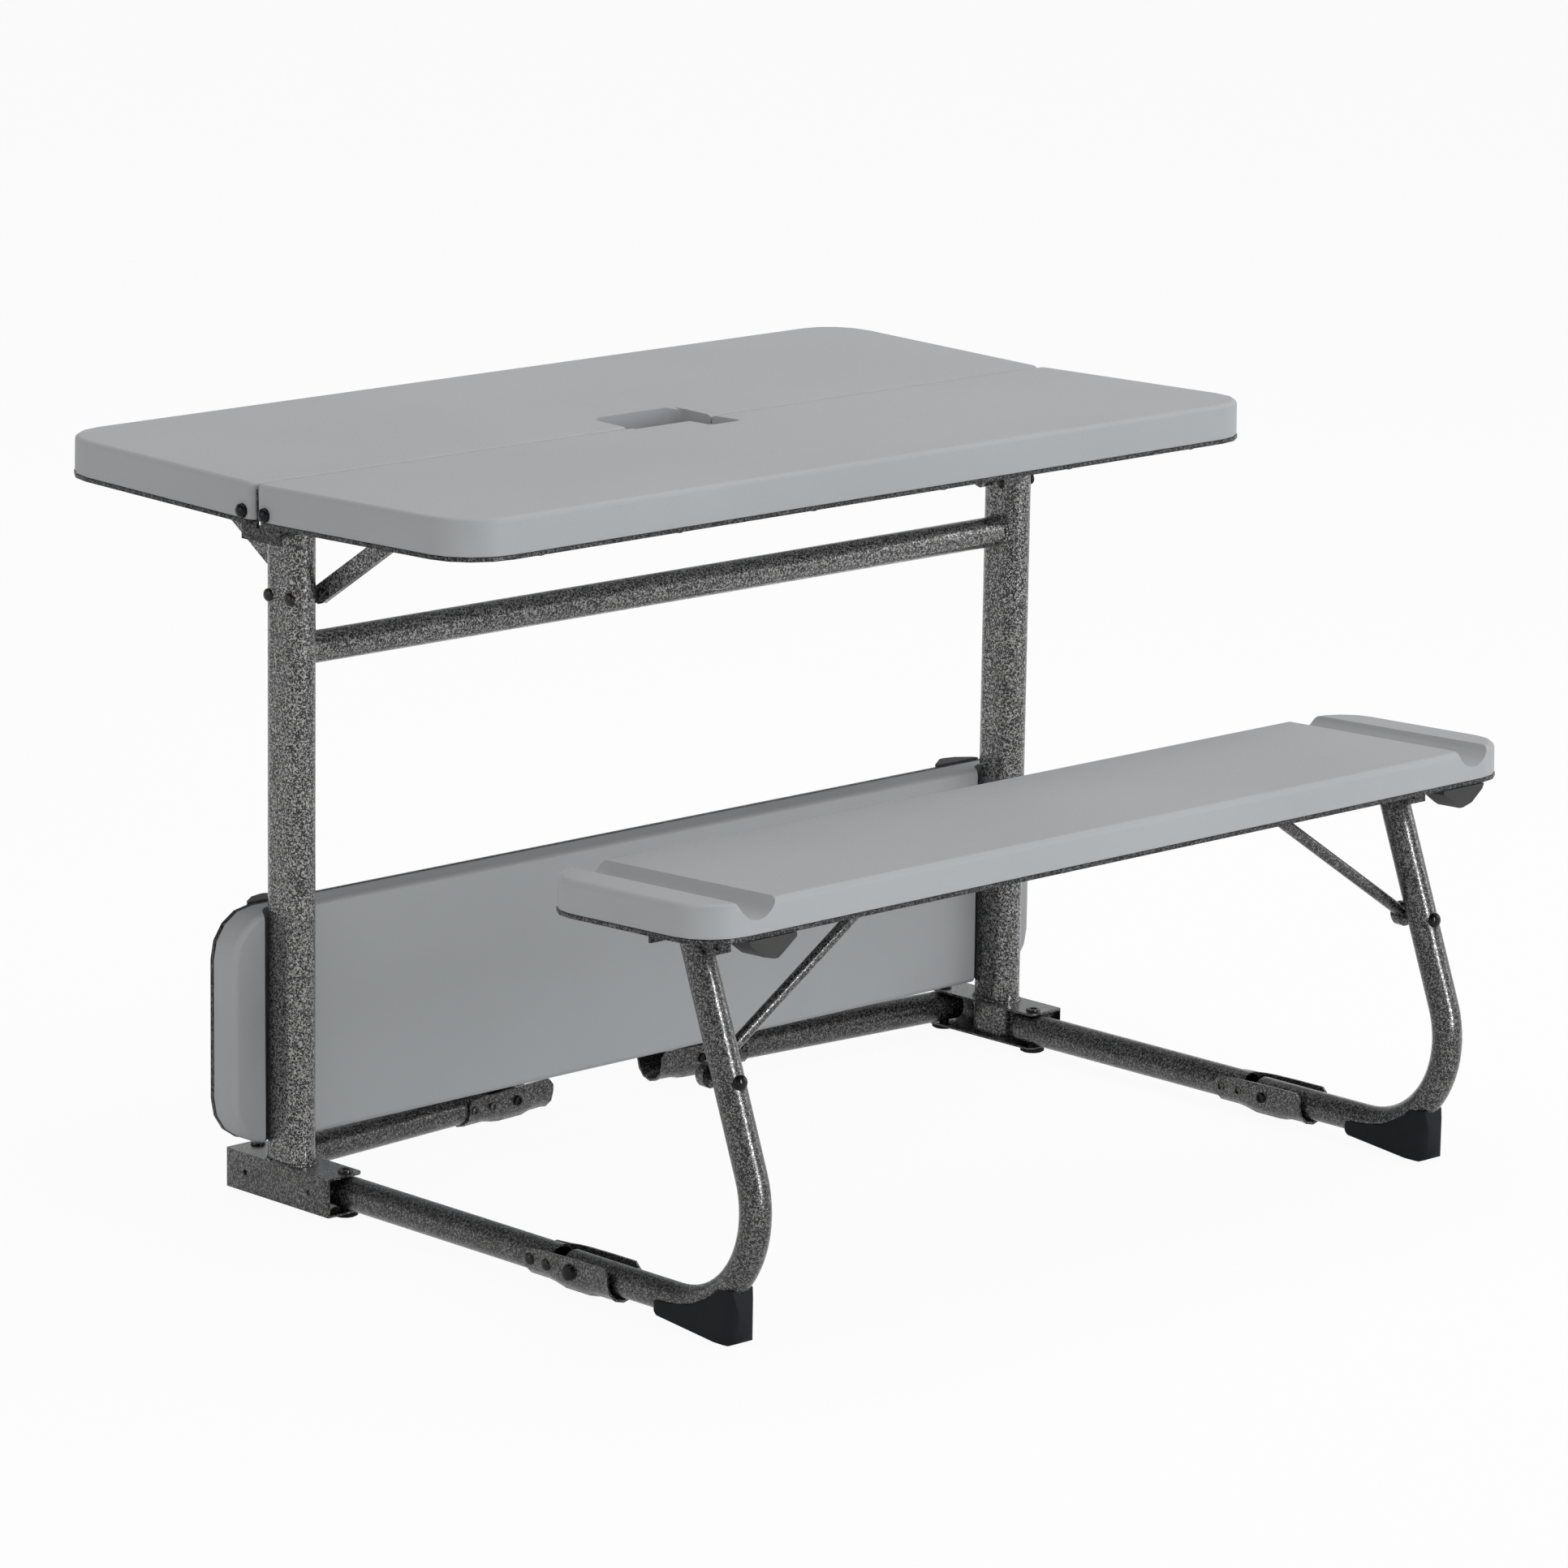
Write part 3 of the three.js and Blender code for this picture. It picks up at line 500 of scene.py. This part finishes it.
def tubeTree():
    inputs = {"Path": "NodeSocketGeometry", "Radius": "NodeSocketFloat", "Finish": "NodeSocketMaterial"}
    g = newTree("round_tubes", inputs)
    path = g.node("GeometryNodeMeshToCurve", sockets={"Mesh": given(g, "Path")})
    sockets = {"Resolution": tubeLook["sides"], "Radius": given(g, "Radius")}
    section = g.node("GeometryNodeCurvePrimitiveCircle", sockets=sockets)
    return closing(g, g.node("GeometryNodeCurveToMesh", sockets={"Curve": path, "Profile Curve": section}))


tubes = tubeTree()


def walled(piece):
    skin = piece.modifiers.new("wall", "SOLIDIFY")
    skin.thickness = tubeLook["wall"]
    skin.offset = -1.0
    return hardened(settled(piece), tubeLook["hard"])


def sweptTube(name, points, radius, look):
    piece = seedPiece(name, points, [(k, k + 1) for k in range(len(points) - 1)])
    return walled(grown(piece, tubes, {"Radius": radius, "Finish": looks[look]}))


def about(point, angle, axis):
    there = Matrix.Translation(point)
    return there @ Matrix.Rotation(math.radians(angle), 4, axis) @ there.inverted()


# From the front left, set up, to another corner. The back bench is stowed.
def placing(row, side, onLeg):
    swing = about(Vector(legLook["armPivot"]), legLook["swing"], "Z")
    turn = Matrix()
    if row == "back":
        lift = about(Vector(legLook["pole"]), -90, "X") @ Matrix.Translation((0, legLook["slide"], 0))
        turn = Matrix.Diagonal((1, -1, 1, 1)) @ swing @ (lift if onLeg else Matrix())
    if side == "right":
        turn = Matrix.Diagonal((-1, 1, 1, 1)) @ turn
    return Matrix.Translation((0, postMiddle, 0)) @ turn


def legPath():
    x, y, z = legLook["axle"]
    lean, bend, low = (legLook[k] for k in ("lean", "bend", "floor"))
    turn = math.pi / 2 + math.atan(lean)
    turnY = y - lean * (z - low) + bend * math.tan(turn / 2) - bend
    points = [Vector((x, y, z))]
    for k in range(tubeLook["bendSteps"] + 1):
        a = math.pi - math.atan(lean) + turn * k / tubeLook["bendSteps"]
        points.append(Vector((x, turnY + bend * (1 + math.cos(a)), low + bend * (1 + math.sin(a)))))
    points.append(Vector((x, legLook["tail"], low)))
    return points


# What of a leg's solid stands out of its tube: the hinge rod and the bolt.
def legStubs(node, path, hard):
    bm = joinedSolid(node, hard)
    reach = legLook["radius"] + legLook["skin"]

    def off(p):
        gaps = []
        for a, b in zip(path, path[1:]):
            run = b - a
            t = min(max((p - a).dot(run) / run.length_squared, 0), 1)
            gaps.append((p - a - run * t).length)
        return min(gaps)

    inside = [f for f in bm.faces if max(off(v.co) for v in f.verts) < reach]
    bmesh.ops.delete(bm, geom=inside, context="FACES")
    bmesh.ops.holes_fill(bm, edges=[e for e in bm.edges if e.is_boundary])
    return bm


def joinTo(piece, bm):
    bm.from_mesh(piece.data)
    bm.to_mesh(piece.data)
    bm.free()
    return piece


def roundLeg(node, kind):
    row, side = node.split("_")[:2]
    path = [placing(row, side, True) @ p for p in legPath()]
    stubs = legStubs(node, path, kind["hard"])
    return joinTo(sweptTube(node + "_finish", path, legLook["radius"], kind["look"]), stubs)


def roundArm(node, kind):
    row, side = node.split("_")[:2]
    x = legLook["axle"][0]
    ends = [Vector((x, armLook[k], legLook["floor"])) for k in ("start", "end")]
    path = [placing(row, side, False) @ p for p in ends]
    return sweptTube(node + "_finish", path, armLook["radius"], kind["look"])


def roundCross(node, kind):
    low, high = (Vector(v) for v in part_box(node))
    middle = middleOf(node)
    path = [Vector((x, middle.y, middle.z)) for x in (low.x, high.x)]
    return sweptTube(node + "_finish", path, (high.z - low.z) / 2, kind["look"])


# Bench stay: a slim round bar between the flat ends of its solid.
braceLook = {"radius": 0.0046, "keep": 0.017, "probe": 0.045}


def slimBrace(node, kind):
    bm = joinedSolid(node, kind["hard"])
    points = [v.co.copy() for v in bm.verts]
    middle = sum(points, Vector()) / len(points)
    far = max(points, key=lambda p: (p - middle).length)
    near = max(points, key=lambda p: (p - far).length)
    run = (far - near).normalized()
    tips = bmesh.new()
    spots = []
    for end, inward in ((near, run), (far, -run)):
        for step, isTip in ((braceLook["probe"], False), (braceLook["keep"], True)):
            part = bm.copy()
            every = part.verts[:] + part.edges[:] + part.faces[:]
            place = end + inward * step
            cut = bmesh.ops.bisect_plane(part, geom=every, plane_co=place, plane_no=inward, clear_outer=isTip)
            if isTip:
                bmesh.ops.holes_fill(part, edges=[e for e in part.edges if e.is_boundary])
                loose = bpy.data.meshes.new("tip")
                edged(part, kind["hard"]).to_mesh(loose)
                tips.from_mesh(loose)
                bpy.data.meshes.remove(loose)
            else:
                ring = [v.co.copy() for v in cut["geom_cut"] if isinstance(v, bmesh.types.BMVert)]
                spots.append(sum(ring, Vector()) / len(ring))
            part.free()
    bm.free()
    slope = (spots[1] - spots[0]).normalized() * (braceLook["probe"] - braceLook["keep"] / 2)
    path = [spots[0] - slope, spots[1] + slope]
    return joinTo(sweptTube(node + "_finish", path, braceLook["radius"], kind["look"]), tips)


# Flat-oval post with a full round at each edge.
postLook = {"thick": 0.025}


def postSection(node):
    low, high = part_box(node)
    half = postLook["thick"] / 2
    x = high[0] - half if "left" in node else low[0] + half
    return x, half, (high[1] - low[1]) / 2 - half


def ovalPost(node, kind):
    low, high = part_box(node)
    x, half, run = postSection(node)
    middle = middleOf(node).y
    bm = bmesh.new()
    rings = []
    for z in (low[2], high[2]):
        ring = []
        for end in (0, 1):
            for k in range(tubeLook["bendSteps"] + 1):
                a = math.pi * (end + k / tubeLook["bendSteps"])
                y = middle + (run, -run)[end] + half * math.sin(a)
                ring.append(bm.verts.new((x + half * math.cos(a), y, z)))
        rings.append(ring)
    for i, (a, b) in enumerate(zip(*rings)):
        j = (i + 1) % len(rings[0])
        bm.faces.new((a, rings[0][j], rings[1][j], b))
    return walled(finishedMesh(node + "_finish", bm, looks[kind["look"]]))


# Hand grip across the seam: a shallow ledge in the front half, a deep pocket in the back one.
gripLook = {
    "x": (-0.041, 0.0465),
    "ledge": 0.0018,
    "dip": (0.022, 0.041),
    "drop": 0.0064,
    "plate": 0.001,
    "near": -0.0336,
    "clear": 0.00168,
    "past": 0.0042,
    "far": 0.0432,
    "deep": 0.0172,
    "corner": 0.012,
    "wall": 0.0026,
    "bury": 0.002,
    "opening": 0.03,
    "probe": (0.2, 0.01, 1.0),
}


def prism(name, outline, lift, look):
    bm = bmesh.new()
    base = bm.faces.new([bm.verts.new(p) for p in outline])
    made = bmesh.ops.extrude_face_region(bm, geom=[base])
    moved = [v for v in made["geom"] if isinstance(v, bmesh.types.BMVert)]
    bmesh.ops.translate(bm, vec=lift, verts=moved)
    bmesh.ops.recalc_face_normals(bm, faces=bm.faces)
    return finishedMesh(name, bm, looks[look])


def carved(piece, operation, helper):
    cut = piece.modifiers.new("carve", "BOOLEAN")
    cut.operation = operation
    cut.solver = "EXACT"
    cut.object = helper
    settled(piece)
    bpy.data.objects.remove(helper)


def pocketOutline(z, grow):
    left, right = gripLook["x"]
    far = gripLook["far"] + grow
    bend = gripLook["corner"] + grow
    start = gripLook["clear"] if grow else -gripLook["past"]
    points = [(left - grow, start), (right + grow, start)]
    for middle, first in ((right + grow - bend, 0.0), (left - grow + bend, math.pi / 2)):
        for k in range(tubeLook["bendSteps"] + 1):
            a = first + math.pi / 2 * k / tubeLook["bendSteps"]
            points.append((middle + bend * math.cos(a), far - bend + bend * math.sin(a)))
    return [(x, postMiddle + y, z) for x, y in points]


def gripHalf(node, kind):
    look = gripLook
    piece = dressedSolid(node, kind)
    isBack = "back" in node
    x, aside, above = look["probe"]
    start = Vector((x, postMiddle + (aside if isBack else -aside), above))
    top = castTree(node).ray_cast(start, Vector((0, 0, -1)))[0].z
    if isBack:
        floor = top - look["deep"]
        outer = pocketOutline(floor - look["wall"], look["wall"])
        inner = pocketOutline(floor, 0.0)
        carved(piece, "UNION", prism("boss", outer, (0, 0, look["deep"] - look["bury"]), kind["look"]))
        carved(piece, "DIFFERENCE", prism("pocket", inner, (0, 0, look["opening"]), kind["look"]))
    else:
        left = look["x"][0] - look["bury"]
        first, last = look["dip"]
        dip = top - look["drop"]
        low, ledge = dip - look["plate"], top - look["ledge"]
        profile = [(left, low), (last, low), (last, dip), (first, ledge), (left, ledge)]
        outline = [(x, postMiddle + look["near"], z) for x, z in profile]
        lift = (0, -look["near"] - look["clear"], 0)
        carved(piece, "UNION", prism("ledge", outline, lift, kind["look"]))
    return hardened(piece, kind["hard"])


# Dark plate at each end of the seam between the halves, shaped as a web of the top bracket: painted shade in
# the gap.
seamShadeLook = {"end": 0.003, "run": 0.022, "thick": 0.0016, "under": 0.010}


def seamShadePlates():
    low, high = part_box("front_top")
    foot = middleOf("front_left_top_bolt").z
    size = Vector((seamShadeLook["run"], seamShadeLook["thick"], high[2] - seamShadeLook["under"] - foot))
    inset = seamShadeLook["end"] + seamShadeLook["run"] / 2
    bm = bmesh.new()
    for x in (low[0] + inset, high[0] - inset):
        made = bmesh.ops.create_cube(bm, size=1.0)
        bmesh.ops.scale(bm, vec=size, verts=made["verts"])
        bmesh.ops.translate(bm, vec=(x, postMiddle, foot + size.z / 2), verts=made["verts"])
    piece = finishedMesh("seam_shade_plates", bm, looks["trim"])
    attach(piece, bodyOf["left_post"])
    print("seam shade plates set")


makers = {
    "leg": roundLeg,
    "arm": roundArm,
    "cross_tube": roundCross,
    "post": ovalPost,
    "top": gripHalf,
    "leg_brace": slimBrace,
}
for node in sorted(frame["nodes"]):
    name = kindOf(node)
    kind = pieceKinds[name]
    piece = makers.get(name, dressedSolid)(node, kind)
    if kind["look"] == "plastic":
        even = piece.modifiers.new("even", "WEIGHTED_NORMAL")
        even.keep_sharp = True
        settled(piece)
    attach(piece, bodyOf[node])
    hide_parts(node)
seamShadePlates()
print("solids dressed", len(bodyOf))


# Each dome on the solids has eight faces at its tip, a shoulder at 0.7 of its radius and 0.8 of its height.
headLook = {
    "fan": 8,
    "shoulder": 0.7,
    "step": 0.2,
    "least": 1e-4,
    "uneven": 3e-5,
    "growth": 1.075,
    "segments": 24,
    "rings": 14,
    "finish": {"post": "rivet", "top_brace": "rivet", "leg": "bolt", "leg_brace": "bolt", "clip": "rivet"},
}
ringLook = {"girth": 0.00275, "stand": 0.0006, "growth": 1.0, "steps": 24, "lip": 0.345, "lipSteps": 10}


def headShape(g):
    return ball(g, headLook)


def ringShape(g):
    sockets = {"Resolution": ringLook["steps"], "Radius": 1.0}
    path = g.node("GeometryNodeCurvePrimitiveCircle", sockets=sockets)
    sockets = {"Resolution": ringLook["lipSteps"], "Radius": ringLook["lip"]}
    lip = g.node("GeometryNodeCurvePrimitiveCircle", sockets=sockets)
    return g.node("GeometryNodeCurveToMesh", sockets={"Curve": path, "Profile Curve": lip})


def domesOf(node):
    bm = joinedSolid(node, pieceKinds[kindOf(node)]["hard"])
    found = []
    for tip in bm.verts:
        around = [e.other_vert(tip).co for e in tip.link_edges]
        if len(around) != headLook["fan"]:
            continue
        middle = sum(around, Vector()) / len(around)
        spread = [(p - middle).length for p in around]
        lift = tip.co - middle
        if lift.length < headLook["least"] or max(spread) - min(spread) > headLook["uneven"]:
            continue
        facing = lift.normalized()
        rise = lift.length / headLook["step"]
        girth = spread[0] / headLook["shoulder"]
        found.append({"at": tip.co - facing * rise, "facing": facing, "girth": girth, "rise": rise})
    bm.free()
    return found


# Rolled ring on the far side of each clip rivet, across the arm.
def ringsOf(node, domes):
    axle = middleOf(node.replace("clip", "arm"))
    found = []
    for d in domes:
        across = 2 * (axle - d["at"]).dot(d["facing"])
        at = d["at"] + d["facing"] * (across - ringLook["stand"])
        found.append({"at": at, "facing": -d["facing"], "girth": ringLook["girth"]})
    return found


heads = pointTree("round_heads", headShape, "rise")
rings = pointTree("rolled_rings", ringShape)
counts = {"heads": 0, "rings": 0}
for body, nodes in bodies.items():
    groups = {}
    hollow = []
    for node in nodes:
        finish = headLook["finish"].get(kindOf(node))
        if not finish:
            continue
        domes = domesOf(node)
        groups.setdefault(finish, []).extend(domes)
        if kindOf(node) == "clip":
            hollow.extend(ringsOf(node, domes))
    for finish, places in groups.items():
        values = {"Growth": headLook["growth"], "Finish": looks[finish]}
        dotted(f"{body}_{finish}_heads", places, heads, values, body)
        counts["heads"] += len(places)
    if hollow:
        values = {"Growth": ringLook["growth"], "Finish": looks["ring"]}
        dotted(f"{body}_rolled_rings", hollow, rings, values, body)
        counts["rings"] += len(hollow)
print("fasteners set", counts)

# Weld beads round the feet of the posts and the ends of the cross tube.
beadLook = {
    "pitch": 0.0021,
    "girth": 0.0014,
    "stretch": 1.15,
    "clear": 0.0006,
    "steps": 24,
    "segments": 10,
    "rings": 6,
}


def beadTree():
    inputs = {"Loops": "NodeSocketGeometry", "Pitch": "NodeSocketFloat", "Girth": "NodeSocketFloat"}
    g = newTree("weld_beads", dict(inputs, Finish="NodeSocketMaterial"))
    path = g.node("GeometryNodeMeshToCurve", sockets={"Mesh": given(g, "Loops")})
    sockets = {"Curve": path, "Length": given(g, "Pitch")}
    steps = g.node("GeometryNodeResampleCurve", {"mode": "LENGTH"}, sockets)
    run = g.node("GeometryNodeInputTangent")
    turn = g.node("FunctionNodeAlignRotationToVector", {"axis": "X"}, {"Vector": run})
    girth = given(g, "Girth")
    size = g.node("ShaderNodeCombineXYZ", sockets={"X": girth * beadLook["stretch"], "Y": girth, "Z": girth})
    return setOn(g, steps, ball(g, beadLook), turn, size)


def ringOf(middle, across, upward, half, run):
    points = []
    for k in range(beadLook["steps"]):
        a = 2 * math.pi * (k + 0.5) / beadLook["steps"]
        slide = run if math.sin(a) > 0 else -run
        points.append(middle + across * (half * math.cos(a)) + upward * (half * math.sin(a) + slide))
    return points


def weldBeads():
    alongX, alongY, alongZ = Matrix.Identity(3)
    loops = []
    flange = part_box("left_base_channel")[1][2]
    for post in ("left_post", "right_post"):
        x, half, run = postSection(post)
        foot = Vector((x, middleOf(post).y, flange))
        loops.append(ringOf(foot, alongX, alongY, half + beadLook["clear"], run))
    low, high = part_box("cross_tube")
    radius = (high[2] - low[2]) / 2 + beadLook["clear"] / 2
    for x in (low[0], high[0]):
        end = middleOf("cross_tube")
        end.x = x
        loops.append(ringOf(end, alongY, alongZ, radius, 0.0))
    n = beadLook["steps"]
    edges = [(k * n + i, k * n + (i + 1) % n) for k in range(len(loops)) for i in range(n)]
    piece = seedPiece("weld_beads", [p for loop in loops for p in loop], edges)
    values = {"Pitch": beadLook["pitch"], "Girth": beadLook["girth"], "Finish": looks["steel"]}
    grown(piece, beadTree(), values)
    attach(piece, bodyOf["left_post"])
    print("weld beads set", len(loops), "loops")


weldBeads()

# Screws that hold each rim to its plastic, seen from below, and the side each rim faces.
screwLook = {
    "girth": 0.0036,
    "growth": 1.0,
    "inset": 0.0062,
    "pitch": 0.135,
    "ends": 0.1,
    "reach": 0.3,
    "level": 0.9,
    "segments": 20,
    "rings": 12,
    "pan": 0.5,
    "bar": (1.1, 0.2, 0.5),
}
undersides = {
    "front_top_rim": Vector((0, 0, -1)),
    "back_top_rim": Vector((0, 0, -1)),
    "front_seat_rim": Vector((0, 0, -1)),
    "back_seat_rim": Vector((0, 1, 0)),
}


def screwShape(g):
    sockets = {"Geometry": ball(g, screwLook), "Scale": (1.0, 1.0, screwLook["pan"])}
    pan = g.node("GeometryNodeTransform", sockets=sockets)
    run, slim, deep = screwLook["bar"]
    bars = []
    for span in ((run, slim, deep), (slim, run, deep)):
        bar = g.node("GeometryNodeMeshCube", sockets={"Size": span})
        sockets = {"Geometry": bar, "Translation": (0.0, 0.0, screwLook["pan"])}
        bars.append(g.node("GeometryNodeTransform", sockets=sockets))
    both = g.node("GeometryNodeMeshBoolean", {"operation": "UNION"}, {"Mesh 2": bars})
    return g.node("GeometryNodeMeshBoolean", {"operation": "DIFFERENCE"}, {"Mesh 1": pan, "Mesh 2": both})


def rimScrews(node, away):
    tree = castTree(node)
    low, high = (Vector(v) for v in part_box(node))
    flat = 1 if away.z else 2
    places = []
    count = int((high.x - low.x - screwLook["ends"]) / screwLook["pitch"])
    for edge in (low[flat] + screwLook["inset"], high[flat] - screwLook["inset"]):
        for k in range(count + 1):
            start = middleOf(node)
            start.x += (k - count / 2) * screwLook["pitch"]
            start[flat] = edge
            start += away * screwLook["reach"]
            at, normal, _, _ = tree.ray_cast(start, -away)
            if at and normal.dot(away) > screwLook["level"]:
                places.append({"at": at, "facing": normal, "girth": screwLook["girth"]})
    return places


screws = pointTree("cross_screws", screwShape)
for node, away in undersides.items():
    values = {"Growth": screwLook["growth"], "Finish": looks["bolt"]}
    places = rimScrews(node, away)
    dotted(node + "_screws", places, screws, values, bodyOf[node])
    print(node, "screws", len(places))


# Plain pale floor, white to the camera, with a faint shadow, in a pale room.
stageLook = {
    "size": 60.0,
    "below": 0.0005,
    "paper": (0.86, 0.86, 0.86),
    "white": 0.94,
    "mirror": 0.5,
    "air": (0.98, 0.99, 1.0),
    "wall": 0.8,
    "ceiling": 0.22,
    "rise": (0.05, 0.6),
}


def paleFloor():
    bm = bmesh.new()
    half = stageLook["size"] / 2
    corners = ((-half, -half), (half, -half), (half, half), (-half, half))
    bm.faces.new([bm.verts.new((x, y, -stageLook["below"])) for x, y in corners])
    f = Finish("pale_floor")
    paper = f.node("ShaderNodeBsdfDiffuse", sockets={"Color": (*stageLook["paper"], 1.0)})
    glow = f.node("ShaderNodeEmission", sockets={"Strength": 1.0})
    seen = f.node("ShaderNodeLightPath", out="Is Camera Ray")
    shine = f.node("ShaderNodeLightPath", out="Is Glossy Ray")
    through = f.node("ShaderNodeLightPath", out="Is Transmission Ray")
    amount = (seen.most(through) * stageLook["white"]).most(shine * stageLook["mirror"])
    both = f.node("ShaderNodeMixShader", sockets={0: amount, 1: paper, 2: glow})
    f.node("ShaderNodeOutputMaterial", sockets={"Surface": both})
    finishedMesh("floor", bm, f.material)


def paleRoom():
    world = bpy.data.worlds.new("room")
    world.use_nodes = True
    bpy.context.scene.world = world
    f = NodeBench(world.node_tree)
    heading = f.node("ShaderNodeTexCoord", out="Generated")
    height = f.node("ShaderNodeSeparateXYZ", sockets={"Vector": heading}, out="Z")
    low, high = stageLook["rise"]
    sockets = {"Value": height, "From Min": low, "From Max": high}
    sockets.update({"To Min": stageLook["wall"], "To Max": stageLook["ceiling"]})
    level = f.node("ShaderNodeMapRange", {"interpolation_type": "SMOOTHSTEP"}, sockets)
    glow = f.node("ShaderNodeBackground", sockets={"Color": (*stageLook["air"], 1.0), "Strength": level})
    f.node("ShaderNodeOutputWorld", sockets={"Surface": glow})


# Soft lamps, in metres and watts. The streak shows only in what shines.
lampLooks = {
    "overhead": {
        "at": (0.8, 0.3, 3.4),
        "to": (0.0, 0.1, 0.4),
        "size": (3.0, 3.0),
        "watts": 63.0,
        "tint": (1.0, 0.997, 0.99),
        "spread": True,
    },
    "strip": {
        "at": (0.2, -4.4, 1.25),
        "to": (0.0, 0.0, 0.35),
        "size": (0.7, 2.4),
        "watts": 70.0,
        "tint": (0.97, 0.985, 1.0),
        "spread": True,
    },
    "right": {
        "at": (3.4, -1.8, 1.6),
        "to": (0.0, 0.0, 0.35),
        "size": (1.6, 2.0),
        "watts": 25.0,
        "tint": (1.0, 1.0, 1.0),
        "spread": True,
    },
    "streak": {
        "at": (0.33, -4.3, 1.6),
        "to": (-0.3, -0.3, 0.2),
        "size": (0.4, 2.6),
        "watts": 60.0,
        "tint": (1.0, 1.0, 1.0),
        "spread": False,
    },
    "left": {
        "at": (-3.2, 0.4, 1.5),
        "to": (0.0, 0.0, 0.35),
        "size": (1.2, 2.0),
        "watts": 14.0,
        "tint": (1.0, 1.0, 1.0),
        "spread": True,
    },
}


def softLamps():
    for name, look in lampLooks.items():
        data = bpy.data.lights.new(name, "AREA")
        data.shape = "RECTANGLE"
        data.size, data.size_y = look["size"]
        data.energy = look["watts"]
        data.color = look["tint"]
        lamp = bpy.data.objects.new(name, data)
        lamp.visible_diffuse = look["spread"]
        aim = Vector(look["to"]) - Vector(look["at"])
        turn = aim.to_track_quat("-Z", "Y").to_matrix().to_4x4()
        lamp.matrix_world = Matrix.Translation(look["at"]) @ turn
        bpy.context.scene.collection.objects.link(lamp)


# Camera from the lines of the photograph, in metres and degrees, with its lens in millimetres.
cameraLook = {
    "from": (-3.76125, -4.03519, 1.52041),  # from the floor under the middle of the posts
    "yaw": 43.64,
    "pitch": -12.68,
    "roll": 0.81,
    "lens": 168.09,
    "sensor": 36.0,
    "shift": (0.02513, -0.01016),
    "sight": 40.0,
}


def photoCamera():
    look = cameraLook
    yaw, pitch, roll = (math.radians(look[k]) for k in ("yaw", "pitch", "roll"))
    ahead = Vector((math.sin(yaw) * math.cos(pitch), math.cos(yaw) * math.cos(pitch), math.sin(pitch)))
    right = Vector((math.cos(yaw), -math.sin(yaw), 0.0))
    above = right.cross(ahead)
    across = right * math.cos(roll) + above * math.sin(roll)
    upward = above * math.cos(roll) - right * math.sin(roll)
    data = bpy.data.cameras.new("camera")
    data.sensor_width = look["sensor"]
    data.lens = look["lens"]
    data.shift_x, data.shift_y = look["shift"]
    data.clip_end = look["sight"]
    camera = bpy.data.objects.new("camera", data)
    turn = Matrix((across, upward, -ahead)).transposed().to_4x4()
    stand = Vector(look["from"]) + Vector((0.0, postMiddle, 0.0))
    camera.matrix_world = Matrix.Translation(stand) @ turn
    bpy.context.scene.collection.objects.link(camera)
    bpy.context.scene.camera = camera


paleFloor()
paleRoom()
softLamps()
photoCamera()
bpy.context.scene.view_settings.view_transform = "Standard"
print("stage, lamps and camera set")
